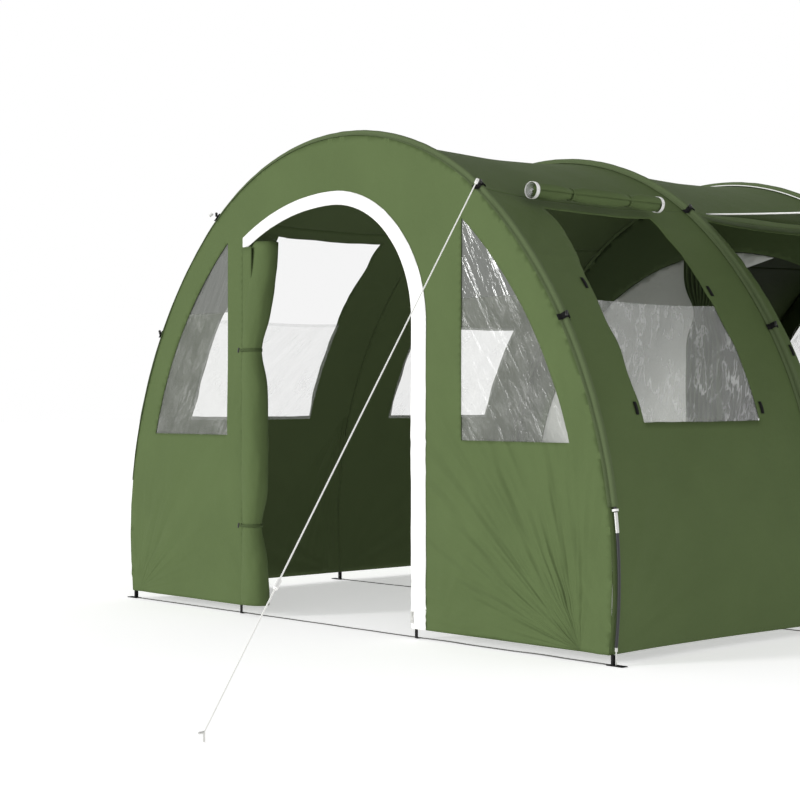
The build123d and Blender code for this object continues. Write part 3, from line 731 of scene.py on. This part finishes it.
# %% Roof and side panels
SIDE_SILL = 0.862
FILM_TOP = 1.328
MESH_TOP = 1.726
PORCH_WINDOW = (0.290, 1.010)
LIVING_WINDOW = (1.580, 2.290)
SIDE_DOOR = (1.400, 2.470)
SIDE_DOOR_TOP = 1.737
SEAM_LAP = 0.006
SEAM_LIFT = 0.0004
BAYS = {
    "porch": (0.002, ARCH_Y[1], 0.021),
    "living": (ARCH_Y[1], ARCH_Y[2], 0.021),
    "bedroom": (ARCH_Y[2], TENT_END - 0.002, 0.034),
}


def rectangle(u, v):
    return [(u[0], v[0]), (u[1], v[0]), (u[1], v[1]), (u[0], v[1])]


def side_hole(side, y, low, high):
    """A level-silled rectangle in a side panel, given by two heights."""
    runs = sorted((side * run_at_height(low), side * run_at_height(high)))
    return rectangle(y, runs)


def wavy(hole, depth, seed, drawn_in=0.0):
    """A cut edge that isn't quite straight, because the cloth round it is under uneven pull.

    The front edge can be drawn in towards the top, where the rolled cover pulls on it."""
    points = []
    front = min(u for u, _ in hole)
    for u, v in refine(hole, 0.03):
        u += depth * ripple(v, u, 0.12, 0.4, 0.0, seed)
        v += depth * 0.4 * ripple(u, v, 0.12, 0.4, 0.0, seed + 2)
        if u < front + 0.1:
            u += drawn_in * math.exp(-((abs(v) - 1.02) / 0.24) ** 2)
        points.append((u, v))
    return points


for bay_name, (start, end, step) in BAYS.items():
    roof = rectangle((start, end), (-ROOF_RUN - SEAM_LAP, ROOF_RUN + SEAM_LAP))
    cut_cloth(f"fly_{bay_name}_roof_cloth", roof, [], lambda y, run: fly_place(y, run, SEAM_LIFT), step,
              [f"fly_{bay_name}_roof"], [fly_cloth, shaded_coated_inside])
    for side, side_name in ((-1, "left"), (1, "right")):
        holes = []
        if bay_name == "porch":
            holes = [wavy(side_hole(side, PORCH_WINDOW, SIDE_SILL, MESH_TOP), 0.012, 30.0 + side, 0.085)]
        elif bay_name == "living" and side == -1:
            holes = [wavy(side_hole(side, LIVING_WINDOW, SIDE_SILL, FILM_TOP), 0.008, 33.0)]
        elif bay_name == "living":
            holes = [side_hole(side, SIDE_DOOR, HEM - 0.1, SIDE_DOOR_TOP)]
        runs = sorted((side * ROOF_RUN, side * HEM_RUN))
        lining = pleated_shaded_inside if (bay_name, side) == ("porch", -1) else shaded_coated_inside
        panel = f"fly_{bay_name}_{side_name}"
        cut_cloth(f"{panel}_cloth", rectangle((start, end), runs), holes, fly_place, step, [panel],
                  [fly_cloth, lining])

# %% [markdown]
# Behind each porch window hangs film up to chest height and mesh above it.  Both follow the
# cloth they are sewn to, so they use the same placing function a few millimetres further in.

# %% Side window film and mesh
def pane_place(y, run):
    return fly_place(y, run, -0.004 + 0.002 * ripple(y, run, 0.3, 0.07, 0.8, 41.0))


def mesh_place(y, run):
    return fly_place(y, run, -0.005)


def side_pane(name, node, side, y, low, high, put_up, finish):
    lap = FILM_LAP
    cut_cloth(name, side_hole(1, (y[0] - lap, y[1] + lap), low - lap, high), [],
              lambda along, run: put_up(along, side * run), 0.022, [node], [finish], 0.0)


for side, side_name in ((-1, "left"), (1, "right")):
    film = window_film if side > 0 else faint_glint_film
    side_pane(f"porch_window_film_{side_name}_sheet", f"porch_window_film_{side_name}", side, PORCH_WINDOW,
              SIDE_SILL, FILM_TOP, pane_place, film)
    side_pane(f"porch_window_mesh_{side_name}_sheet", f"porch_window_mesh_{side_name}", side, PORCH_WINDOW,
              FILM_TOP, MESH_TOP + FILM_LAP, mesh_place, mosquito_mesh)
side_pane("living_window_film_left_sheet", "living_window_film_left", -1, LIVING_WINDOW,
          SIDE_SILL, FILM_TOP + FILM_LAP, pane_place, faint_glint_film)

# %% [markdown]
# ## Pieces laid out in rows
# Sleeves, rolls, bands of webbing and the gathered curtain are long strips.  They are easiest
# to give as rows of points.  `row_mesh` joins any number of such patches into one mesh and
# measures the cloth as it goes, which gives both the pattern and the flat size.

# %% Rows of points to cloth
def row_mesh(name, patches):
    """One mesh from patches, each a list of rows; the pattern is the distance along each way."""
    points, faces, flat_points = [], [], []
    widest, total_length = 0.0, 0.0
    for rows in patches:
        first = len(points)
        count = len(rows[0])
        across = [0.0]
        for a, b in zip(rows[len(rows) // 2], rows[len(rows) // 2][1:]):
            across.append(across[-1] + (b - a).length)
        along = [0.0]
        for a, b in zip(rows, rows[1:]):
            along.append(along[-1] + (b[count // 2] - a[count // 2]).length)
        for r, row in enumerate(rows):
            points += row
            flat_points += [(across[k], along[r]) for k in range(count)]
        for r in range(len(rows) - 1):
            for k in range(count - 1):
                corner = first + r * count + k
                faces.append((corner, corner + 1, corner + count + 1, corner + count))
        widest = max(widest, across[-1])
        total_length += along[-1]
    made = new_mesh(name, points, faces, flat_points)
    area = sum(face.area for face in made.data.polygons)
    return made, (area / total_length, total_length)


def strip_rows(path, ups, width, sideways=None):
    """Rows for a flat band: three points across each point of a path, lying square to ups."""
    rows = []
    for k, point in enumerate(path):
        ahead = path[min(k + 1, len(path) - 1)] - path[max(k - 1, 0)]
        across = sideways or ahead.normalized().cross(ups[k]).normalized()
        rows.append([point - across * width / 2, point.copy(), point + across * width / 2])
    return rows


# %% [markdown]
# ## Pole sleeves
# A sleeve is a strip of cloth sewn down along both edges, with a rod pushed through the
# channel between.  The rod holds it round, so its section is a low flange, a bead and another
# flange.  Little wrinkles run across it where the strip has to bend with the rod.

# %% Sleeves over the arches
SLEEVE_END_RUN = run_at_height(0.560)
SLEEVE_HALF = 0.0255
BEAD_RADIUS = 0.0118
BEAD_HEIGHT = 0.0117


def sleeve_section():
    """(across, off the cloth) points of the sleeve's cross-section."""
    bead = [(-x, z) for x, z in arc((0, BEAD_HEIGHT), BEAD_RADIUS, -28, 208, 12)]
    return [(-SLEEVE_HALF, 0.0012), (-0.0135, 0.0028)] + bead + [(0.0135, 0.0028), (SLEEVE_HALF, 0.0012)]


def sleeve_rows(y):
    rows = []
    count = 220
    for step in range(count + 1):
        run = SLEEVE_END_RUN * (2 * step / count - 1)
        row = []
        for across, off in sleeve_section():
            pucker = 0.0011 * noise.noise(Vector((run / 0.045, across / 0.03, y))) * min(off / 0.01, 1.0)
            x, z = at_lean(lean_of(run), off + pucker)
            row.append(place(x, y + across + 0.0012 * noise.noise(Vector((run / 0.09, y, 2.0))), z))
        rows.append(row)
    return rows


for number, y in enumerate(ARCH_Y, start=1):
    sleeve, flat_size = row_mesh(f"pole_sleeve_{number}_cloth", [sleeve_rows(y)])
    face_out(sleeve)
    finish_piece(sleeve, [f"pole_sleeve_{number}"], [sleeve_cloth], 0.0009)
print("sleeve strip", [round(part, 3) for part in flat_size], "m")

# %% [markdown]
# A thin white strip runs in front of the third sleeve, where the bedroom cloth begins.

# %% White strip at the third arch
def white_strip_rows():
    rows = []
    for step in range(161):
        run = SLEEVE_END_RUN * (2 * step / 160 - 1)
        row = []
        for across, off in arc((0, 0.003), 0.004, 190, -10, 5):
            x, z = at_lean(lean_of(run), off)
            row.append(place(x, ARCH_Y[2] - 0.030 + across, z))
        rows.append(row)
    return rows


white_strip, flat_size = row_mesh("third_arch_white_strip", [white_strip_rows()])
face_out(white_strip)
finish_piece(white_strip, [], [white_band], 0.0008)

# %% [markdown]
# ## Rolled cloth
# The door and the window covers are rolled up and tied.  A roll is one sheet wound in a
# spiral, so that is how it is built: the ends then show their turns, and the white lining
# shows between them.  Ties pull the roll in, and the cloth bulges between them.

# %% A tied roll
ACROSS, BACK, UP = Vector((1, 0, 0)), Vector((0, 1, 0)), Vector((0, 0, 1))


def roll_rows(heart, axis, first_way, radius, core, turns, length, pinches, seed, steps_round=30,
              flatten=1.0, anchored=0.0, lean_in=0.0):
    """Rows of a spiral roll: each row is one lengthwise line of cloth, from core to outside.

    flatten narrows the roll square to first_way.  An anchored roll keeps the edge on the
    first_way side still where it is pinched.  lean_in moves its far end sideways."""
    second_way = axis.cross(first_way)
    levels = max(24, int(length / 0.022))
    rows = []
    for step in range(int(turns * steps_round) + 1):
        turn = step / steps_round * 2 * math.pi
        share = step / (turns * steps_round)
        row = []
        for level in range(levels + 1):
            along = level / levels * length
            bulge = 1.0
            for where, depth, width in pinches:
                bulge -= depth * math.exp(-(((along - where) / width) ** 2))
            c, s = math.cos(turn), math.sin(turn)
            crease = 0.055 * noise.noise(Vector((c * 1.6, s * 1.6 + seed, along / 0.16)))
            crease += 0.035 * noise.noise(Vector((c * 3.4, s * 3.4, along / 0.07 + seed)))
            sway = 0.004 * noise.noise(Vector((along / 0.5, seed, 0.5)))
            reach = (core + (radius - core) * share) * bulge * (1 + crease)
            slip = 0.006 * noise.noise(Vector((turn / 5, seed, 3.0))) * (1 if level in (0, levels) else 0)
            sway += anchored * radius * (1 - bulge)
            lean = lean_in * ease(0.7, 1.0, along / length)
            row.append(heart + axis * (along + slip) + first_way * (reach * c + sway)
                       + second_way * (reach * s * flatten + lean))
        rows.append(row)
    return rows


def rolled(name, nodes, slot, finishes, body, *shape, **details):
    made, (width, length) = row_mesh(name, [roll_rows(*shape, **details)])
    made.data.flip_normals()
    finish_piece(made, nodes, finishes, 0.0012, True, body)
    print(name, "unrolls to", round(length, 2), "x", round(width, 2), "m")
    return made


# %% [markdown]
# The front door hangs rolled at the left jamb.  Its outer turn runs on to the jamb's seam.

# %% Rolled front door
roll_low, roll_high = box_here("front_door_roll")
DOOR_ROLL_RADIUS = (roll_high.x - roll_low.x) / 2
DOOR_ROLL_DEPTH = (roll_high.y - roll_low.y) / 2 - 0.003
DOOR_ROLL_X = (roll_low.x + roll_high.x) / 2
DOOR_ROLL_LENGTH = roll_high.z - roll_low.z + 0.05
DOOR_TIES = (0.392, 1.156)
pinches = [(height - roll_low.z, 0.26, 0.10) for height in DOOR_TIES]
pinches += [(0.0, -0.05, 0.10)]
DOOR_ROLL_FLATTEN = DOOR_ROLL_DEPTH / DOOR_ROLL_RADIUS
rolled("front_door_rolled_cloth", ["front_door_roll"], "front_cloth", [fly_cloth, shaded_coated_inside],
       "front_door", place(DOOR_ROLL_X, 0, roll_low.z), UP, -ACROSS, DOOR_ROLL_RADIUS, 0.010, 5,
       DOOR_ROLL_LENGTH, pinches, 2.0, flatten=DOOR_ROLL_FLATTEN, anchored=1.0, lean_in=-0.055)

# %% Door seam flap
seam_x = max(roll_low.x, DOOR_LEFT)
flap_rows = []
for step in range(41):
    z = roll_low.z + 0.01 + (DOOR_ROLL_LENGTH - 0.03) * step / 40
    row = []
    for across in range(5):
        share = across / 4
        x = seam_x + 0.004 + DOOR_ROLL_RADIUS * 0.8 * share
        swell = 0.003 * math.sin(share * math.pi) * noise.noise(Vector((z / 0.2, 0, 8.0)))
        row.append(place(x, -0.006 + swell, z))
    flap_rows.append(row)
flap, flat_size = row_mesh("front_door_seam_flap", [flap_rows])
finish_piece(flap, [], [fly_cloth, shaded_coated_inside], 0.0015, False, "front_door")

# %% Rolled window covers
COVER_TIES = (0.485, 0.837)
for side, side_name in ((-1, "left"), (1, "right")):
    low, high = box_here(f"window_cover_roll_{side_name}")
    heart = place((low.x + high.x) / 2, low.y, (low.z + high.z) / 2)
    pinches = [(tie - low.y, 0.34, 0.045) for tie in COVER_TIES]
    pinches += [(0.0, 0.12, 0.05), (high.y - low.y, 0.12, 0.05)]
    rolled(f"window_cover_rolled_{side_name}", [f"window_cover_roll_{side_name}"], "fly_cloth",
           [fly_cloth, white_lining], "tent", heart, BACK, side * ACROSS, (high.z - low.z) / 2, 0.006, 4,
           high.y - low.y, pinches, 5.0 + side, steps_round=24)


# %% [markdown]
# ## Ties
# A tie is a narrow band passed round the roll, with a short moulded toggle pushed through a
# loop.  The band is a closed ring of rows, and the toggle a small capsule.

# %% Ties and their toggles
def ring_patch(centre, axis, way, radius, width, flatten=1.0):
    """Rows of a flat ring of cloth or webbing round a roll."""
    other = axis.cross(way) * flatten
    rows = []
    for step in range(33):
        turn = step / 32 * 2 * math.pi
        wobble = radius * (1 + 0.03 * noise.noise(Vector((math.cos(turn), math.sin(turn), centre.z * 3))))
        out = way * math.cos(turn) + other * math.sin(turn)
        rows.append([centre + out * wobble + axis * (width * across) for across in (-0.5, 0.0, 0.5)])
    return rows


def capsule(name, centre, axis, length, radius, finish, body):
    """A toggle: a short round bar with rounded, slightly waisted ends."""
    way = axis.orthogonal().normalized()
    other = axis.cross(way)
    outline = []
    for step in range(13):
        turn = math.pi * step / 12
        waist = 1 - 0.25 * math.sin(turn) ** 4
        outline.append((-length / 2 * math.cos(turn), radius * math.sin(turn) ** 0.5 * waist))
    points, faces, flats = [], [], []
    count = 14
    for along, reach in outline:
        for k in range(count):
            turn = 2 * math.pi * k / count
            out = way * math.cos(turn) + other * math.sin(turn)
            points.append(centre + axis * along + out * max(reach, 1e-5))
            flats.append((k * 0.002, along))
    for r in range(len(outline) - 1):
        for k in range(count):
            low_corner, next_corner = r * count + k, r * count + (k + 1) % count
            faces.append((low_corner, next_corner, next_corner + count, low_corner + count))
    made = new_mesh(name, points, faces, flats)
    made.data.materials.append(finish)
    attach(made, body)
    return made


black_plastic = plain_finish("black_plastic", (0.015, 0.015, 0.015), 0.4)
door_rings = []
TIED = 0.74
for height in DOOR_TIES:
    centre = place(DOOR_ROLL_X - DOOR_ROLL_RADIUS * (1 - TIED), 0, height)
    door_rings.append(ring_patch(centre, UP, -ACROSS, DOOR_ROLL_RADIUS * TIED, 0.012, DOOR_ROLL_FLATTEN))
    button = centre + Vector((-DOOR_ROLL_RADIUS * 0.48, -DOOR_ROLL_DEPTH * 0.74, 0))
    capsule(f"front_door_toggle_{round(height * 100)}", button, Vector((0.25, 0, 1)).normalized(),
            0.022, 0.005, black_plastic, "front_door")
door_ties, flat_size = row_mesh("front_door_tie_bands", door_rings)
finish_piece(door_ties, ["front_door_ties"], [header_cloth], 0.001, False, "front_door")

# %% Ties and bound ends of the window covers
cover_rings, end_rings = [], []
for side, side_name in ((-1, "left"), (1, "right")):
    low, high = box_here(f"window_cover_roll_{side_name}")
    radius = (high.z - low.z) / 2
    for rings, places, share, width in ((cover_rings, COVER_TIES, 0.70, 0.012),
                                        (end_rings, (low.y + 0.004, high.y - 0.004), 0.93, 0.018)):
        for y in places:
            centre = place((low.x + high.x) / 2, y, (low.z + high.z) / 2)
            rings.append(ring_patch(centre, BACK, side * ACROSS, radius * share, width))
cover_ends, flat_size = row_mesh("window_cover_end_bindings", end_rings)
finish_piece(cover_ends, [], [white_band], 0.0012, False)
cover_ties, flat_size = row_mesh("window_cover_tie_bands", cover_rings)
finish_piece(cover_ties, ["window_cover_ties"], [fly_cloth], 0.001, False)


# %% [markdown]
# ## Webbing
# Short loops of webbing hold guy lines and tie-backs, and long straps join the feet of each
# arch across the ground.  All are flat bands laid along a path.

# %% Guy loops over the sleeves
LOOP_LEANS = (38.4, 60.0)
loop_section = [(-0.032, 0.0015), (-0.0245, 0.004)]
loop_section += [(-x, z) for x, z in arc((0, 0.0125), 0.0145, -20, 200, 8)]
loop_section += [(0.0245, 0.004), (0.032, 0.0015)]


def loop_patch(y, turn, tangent):
    """Rows of one loop that passes over the sleeve at y, where the profile leans by turn."""
    rows = []
    for across, off in loop_section:
        x, z = at_lean(turn, off + 0.001)
        point = place(x, y + across, z)
        rows.append([point - tangent * 0.012, point.copy(), point + tangent * 0.012])
    return rows


loop_patches = []
for number, y in enumerate(ARCH_Y, start=1):
    for lean in LOOP_LEANS:
        for side, side_name in ((-1, "left"), (1, "right")):
            turn = math.radians(side * lean)
            tangent = Vector((math.cos(turn), 0, -math.sin(turn)))
            loop_patches.append(loop_patch(y, turn, tangent))
            x, z = at_lean(turn, 0.033)
            capsule(f"sleeve_loop_end_{number}_{side_name}_{round(lean)}", place(x, y - 0.012, z),
                    (tangent - 0.6 * BACK).normalized(), 0.024, 0.0075, black_plastic, "tent")
loops, flat_size = row_mesh("sleeve_loops", loop_patches)
face_out(loops)
finish_piece(loops, ["sleeve_tabs"], [black_webbing], 0.0016, False)


# %% Tie-back toggles beside the windows and the side door
def toggle_patch(side, height, y):
    """A small loop of webbing that stands off the cloth, bowed in the middle."""
    lean = lean_at_height(height)
    rows = []
    for step in range(9):
        share = step / 8
        run = side * (run_of(lean) + 0.050 * (share - 0.5))
        bow = 0.0020 + 0.002 * math.sin(math.pi * share)
        rows.append([fly_place(y + across, run, bow) for across in (-0.008, 0.0, 0.008)])
    return rows


toggles = []
TOGGLE_MARGIN = 0.024
for side in (-1, 1):
    for y in (PORCH_WINDOW[0] - TOGGLE_MARGIN, PORCH_WINDOW[1] + TOGGLE_MARGIN):
        toggles += [toggle_patch(side, height, y) for height in (0.912, 1.390)]
for height in (0.540, 1.145):
    for y in (SIDE_DOOR[0] - TOGGLE_MARGIN, SIDE_DOOR[1] + TOGGLE_MARGIN):
        toggles.append(toggle_patch(1, height, y))
toggle_bands, flat_size = row_mesh("window_toggle_bands", toggles)
face_out(toggle_bands)
finish_piece(toggle_bands, ["window_toggles"], [black_webbing], 0.0016, False)
print("webbing loops:", len(loop_patches) + len(toggles))

# %% Ground straps
strap_patches = []
for y in ARCH_Y:
    reach = 1.455
    path, ups = [], []
    for step in range(121):
        x = reach * (step / 60 - 1)
        lift = 0.0012 + 0.003 * max(0.0, noise.noise(Vector((x / 0.25, y, 6.0))))
        path.append(place(x, y + 0.004 * noise.noise(Vector((x / 0.6, y, 1.0))), lift))
        ups.append(Vector((0, 0, 1)))
    strap_patches.append(strip_rows(path, ups, 0.020))
straps, flat_size = row_mesh("ground_strap_bands", strap_patches)
finish_piece(straps, ["ground_straps"], [grey_webbing], 0.0012, False)

# %% [markdown]
# ## Rear wall
# The rear wall has no door.  It is cut with the same two quarter-arch windows as the front.

# %% Rear wall and its windows
def rear_place(x, z):
    return place(x, TENT_END - 0.001 + wall_bulge(x, z), z)


def rear_film_place(x, z):
    return rear_place(x, z) - Vector((0, 0.004 + 0.002 * ripple(abs(x), z, 0.45, 0.05, -1.05, 16.0), 0))


cut_cloth("rear_wall_cloth", front_outline, [front_window(), mirrored(front_window())], rear_place, 0.030,
          ["rear_wall"], [fly_cloth, shaded_coated_inside])
for side, side_name in ((-1, "left"), (1, "right")):
    cut_cloth(f"rear_window_film_{side_name}_sheet", front_window(FILM_LAP), [],
              lambda x, z: rear_film_place(side * x, z), 0.030,
              [f"rear_window_film_{side_name}"], [window_film], 0.0)

# %% [markdown]
# ## Bedroom partition
# A dark header follows the third arch.  Inside it hangs a pale field with the way into the
# bedroom, and the door cloth is gathered and tied at the opening's left.

# %% Partition header and field
PARTITION_Y = (box_here("partition_header")[0].y + box_here("partition_header")[1].y) / 2
FIELD_RADIUS = 1.275
FIELD_CENTRE = 0.420
PARTITION_DOOR = (-0.165, 0.860)
PARTITION_DOOR_TOP = 1.530
PARTITION_DOOR_PEAK = (0.335, 1.650)


def field_outline(base, shrink=0.0):
    top = arc((0, FIELD_CENTRE), FIELD_RADIUS - shrink, 180, 0, 60)
    return [(shrink - FIELD_RADIUS, base)] + top + [(FIELD_RADIUS - shrink, base)]


def partition_place(x, z):
    slack = 0.012 * ripple(x, z, 1.0, 0.16, 1.5, 51.0)
    return place(x, PARTITION_Y + slack * (1.2 - 0.4 * z), z)


inner = 0.004
header_outline = along_arch(-lean_at_height(HEM, -inner), lean_at_height(HEM, -inner), -inner)
cut_cloth("partition_header_cloth", header_outline, [field_outline(HEM - 0.2)], partition_place, 0.022,
          ["partition_header"], [header_cloth])
cut_cloth("partition_field_cloth", field_outline(0.016, 0.004),
          [[(PARTITION_DOOR[0], -0.1), (PARTITION_DOOR[0], PARTITION_DOOR_TOP), PARTITION_DOOR_PEAK,
            (PARTITION_DOOR_PEAK[0], 2.0), (PARTITION_DOOR[1], 2.0), (PARTITION_DOOR[1], -0.1)]],
          partition_place, 0.022, ["partition_wall"], [partition_cloth])

# %% Gathered bedroom curtain
curtain_low, curtain_high = box_here("partition_curtain")
CURTAIN_X = (curtain_low.x + curtain_high.x) / 2
CURTAIN_Y = (curtain_low.y + curtain_high.y) / 2
curtain_rows = []
FOLDS = 8
CURTAIN_TIE = 1.39
for step in range(81):
    z = curtain_low.z + (curtain_high.z - curtain_low.z) * step / 80
    pinch = 1 - 0.50 * math.exp(-((z - CURTAIN_TIE) / 0.10) ** 2)
    row = []
    for k in range(FOLDS * 14 + 1):
        share = k / (FOLDS * 14)
        sway = 0.012 * noise.noise(Vector((share * 3, z / 0.35, 61.0)))
        depth = 0.031 * math.sin(share * FOLDS * 2 * math.pi + 0.6 * math.sin(z * 3)) * (0.6 + 0.4 * pinch)
        row.append(place(CURTAIN_X + (share - 0.5) * 0.225 * pinch + sway, CURTAIN_Y + depth, z))
    curtain_rows.append(row)
curtain, flat_size = row_mesh("partition_curtain_cloth", [curtain_rows])
finish_piece(curtain, ["partition_curtain"], [header_cloth], 0.0012, False)
print("curtain cloth", [round(part, 2) for part in flat_size])

# %% [markdown]
# ## Bedroom groundsheet
# A tub groundsheet is a floor whose edges are folded up and sewn at the corners.  The pattern
# is a cross: the floor with a flap on each side.  Placing it folds the flaps up.

# %% Groundsheet tub
sheet_low, sheet_high = box_here("bedroom_groundsheet")
LIP = sheet_high.z - sheet_low.z
floor_x = (sheet_low.x, sheet_high.x)
floor_y = (sheet_low.y, sheet_high.y)
tub_outline = [
    (floor_x[0], floor_y[0] - LIP), (floor_x[1], floor_y[0] - LIP), (floor_x[1], floor_y[0]),
    (floor_x[1] + LIP, floor_y[0]), (floor_x[1] + LIP, floor_y[1]), (floor_x[1], floor_y[1]),
    (floor_x[1], floor_y[1] + LIP), (floor_x[0], floor_y[1] + LIP), (floor_x[0], floor_y[1]),
    (floor_x[0] - LIP, floor_y[1]), (floor_x[0] - LIP, floor_y[0]), (floor_x[0], floor_y[0]),
]


def tub_place(u, v):
    x = min(max(u, floor_x[0]), floor_x[1])
    y = min(max(v, floor_y[0]), floor_y[1])
    up = max(abs(u - x), abs(v - y))
    bump = 0.004 * (1 + ripple(u, v, 0.6, 0.2, 0.5, 71.0)) if up == 0 else 0.0
    lean = 0.02 * up / LIP * (1 + ripple(u, v, 0.4, 0.4, 0.0, 73.0))
    x -= math.copysign(lean, u - x) if u != x else 0.0
    y -= math.copysign(lean, v - y) if v != y else 0.0
    return place(x, y, 0.002 + up + bump)


cut_cloth("bedroom_groundsheet_cloth", tub_outline, [], tub_place, 0.036, ["bedroom_groundsheet"],
          [groundsheet_finish], 0.001, False)

# %% [markdown]
# ## Canopy
# The side door swings up and becomes a canopy.  Its free edge hangs between two poles, so the
# cloth sags along its length.  A white edging is folded over its three free sides.

# %% Canopy cloth and edging
canopy_low, canopy_high = box_here("canopy")
CANOPY_SLOPE = math.radians(2.5)
CANOPY_START = canopy_low.x
CANOPY_REACH = canopy_high.x - canopy_low.x
CANOPY_TOP = canopy_high.z - 0.0015
CANOPY_Y = (canopy_low.y, canopy_high.y)


def canopy_place(u, y, off=0.0):
    """u is the distance out from the hinge."""
    share_out, share_y = u / CANOPY_REACH, (y - CANOPY_Y[0]) / (CANOPY_Y[1] - CANOPY_Y[0])
    sag = 0.020 * 4 * share_out * (1 - share_out) + 0.018 * 4 * share_y * (1 - share_y) * share_out
    sag += 0.004 * ripple(u, y, 0.8, 0.2, 0.2, 81.0)
    return place(CANOPY_START + u, y, CANOPY_TOP - u * math.tan(CANOPY_SLOPE) - sag * 0.7 + off)


cut_cloth("canopy_cloth", rectangle((0.0, CANOPY_REACH), CANOPY_Y), [], canopy_place, 0.026, ["canopy"],
          [fly_cloth, shaded_coated_inside], 0.0015, True, "canopy_flap")

edging_patches = []
corner_points = [(0.0, CANOPY_Y[0]), (CANOPY_REACH, CANOPY_Y[0]),
                 (CANOPY_REACH, CANOPY_Y[1]), (0.0, CANOPY_Y[1])]
inward_ways = [BACK, -ACROSS, -BACK]
EDGING_FOLD = 0.014
EDGING_UP = UP * 0.0025
for (start, end), way in zip(zip(corner_points, corner_points[1:]), inward_ways):
    rows = []
    for step in range(61):
        u = start[0] + (end[0] - start[0]) * step / 60
        y = start[1] + (end[1] - start[1]) * step / 60
        edge = canopy_place(u, y)
        fold = edge + way * EDGING_FOLD
        rows.append([fold + EDGING_UP, edge + EDGING_UP, edge - way * 0.003,
                     edge - EDGING_UP, fold - EDGING_UP])
    edging_patches.append(rows)
edging, flat_size = row_mesh("canopy_edging_cloth", edging_patches)
finish_piece(edging, ["canopy_edging"], [white_band], 0.0006, False, "canopy_flap")

# %% [markdown]
# ## Guy line
# One thin line runs straight from the front right loop down to its peg.  A taut line is a
# straight curve, with the runner threaded on it and the peg's hook at its end.

# %% Guy line as a cord
LINE_DIAMETER = 0.005
LINE_TIED = 0.03
top_x, top_z = at_lean(math.radians(LOOP_LEANS[0]), 0.038)
line_top = place(top_x, -0.010, top_z)
peg_hook = place(1.627, -1.877, 0.0265)
line_way = (peg_hook - line_top).normalized()
line_start = line_top + line_way * 0.020
line_end = peg_hook - line_way * 0.0045


def taut_line(name, start, end):
    """A straight spline, as thick as the line, with a point near each end where it is tied."""
    tied = (end - start).normalized() * LINE_TIED
    curve = bpy.data.curves.new(name, "CURVE")
    curve.dimensions = "3D"
    curve.bevel_depth = LINE_DIAMETER / 2
    curve.bevel_resolution = 3
    curve.use_fill_caps = True
    spline = curve.splines.new("NURBS")
    spline.points.add(3)
    for point, where in zip(spline.points, (start, start + tied, end - tied, end)):
        point.co = (*where, 1)
    spline.order_u = 3
    spline.use_endpoint_u = True
    curve.materials.append(guy_cord_finish)
    line = bpy.data.objects.new(name, curve)
    bpy.context.scene.collection.objects.link(line)
    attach(line, "tent")
    return line


line = taut_line("guy_line_cord", line_start, line_end)
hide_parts("guy_line")

# %% [markdown]
# ## Studio
# A pale floor that runs into a pale background keeps the eye on the tent.  The sky is white
# near the horizon and dimmer overhead, so the roof is darker than the walls, and one lamp from
# the front left makes the front wall the brightest and shows its pleats.

# %% Floor, sky and lamp
floor_mesh = bpy.data.meshes.new("studio_floor")
FLOOR_HALF = 60.0
floor_corners = [(x * FLOOR_HALF, y * FLOOR_HALF, -0.001) for x, y in ((-1, -1), (1, -1), (1, 1), (-1, 1))]
floor_mesh.from_pydata(floor_corners, [], [(0, 1, 2, 3)])
floor = bpy.data.objects.new("studio_floor", floor_mesh)
bpy.context.scene.collection.objects.link(floor)
floor_finish = Finish("studio_floor", (0.9, 0.9, 0.9), 0.9)
floor_finish.set(**{"Emission Color": (1, 1, 1, 1), "Emission Strength": 0.45})
floor_mesh.materials.append(floor_finish.material)

world = bpy.data.worlds.new("studio")
bpy.context.scene.world = world
world.use_nodes = True
sky_nodes, sky_links = world.node_tree.nodes, world.node_tree.links
sky_way = sky_nodes.new("ShaderNodeTexCoord")
sky_height = sky_nodes.new("ShaderNodeSeparateXYZ")
sky_shade = sky_nodes.new("ShaderNodeMapRange")
for name, value in (("From Min", 0.26), ("From Max", 0.9), ("To Min", 1.0), ("To Max", 0.30)):
    sky_shade.inputs[name].default_value = value
sky_links.new(sky_way.outputs["Generated"], sky_height.inputs["Vector"])
sky_links.new(sky_height.outputs["Z"], sky_shade.inputs["Value"])
sky_links.new(sky_shade.outputs["Result"], sky_nodes["Background"].inputs["Strength"])
sky_nodes["Background"].inputs["Color"].default_value = (1, 1, 1, 1)

lamp_data = bpy.data.lights.new("front_lamp", "SUN")
lamp_data.energy = 1.95
lamp_data.angle = math.radians(14)
lamp = bpy.data.objects.new("front_lamp", lamp_data)
lamp.rotation_euler = Vector((0.42, 0.95, -0.26)).to_track_quat("-Z", "Y").to_euler()
bpy.context.scene.collection.objects.link(lamp)
bpy.context.scene.view_settings.view_transform = "Standard"

# %% [markdown]
# ## Camera
# A long lens at eye height, level, from the front right.

# %% Camera
camera_data = bpy.data.cameras.new("camera")
camera_data.lens = 80.08
camera_data.sensor_width = 36.0
camera = bpy.data.objects.new("camera", camera_data)
camera.location = place(5.5772, -4.7998, 0.9388)
camera.rotation_euler = (math.radians(90), 0, math.radians(47.217))
camera_data.clip_end = 300
bpy.context.scene.collection.objects.link(camera)
bpy.context.scene.camera = camera
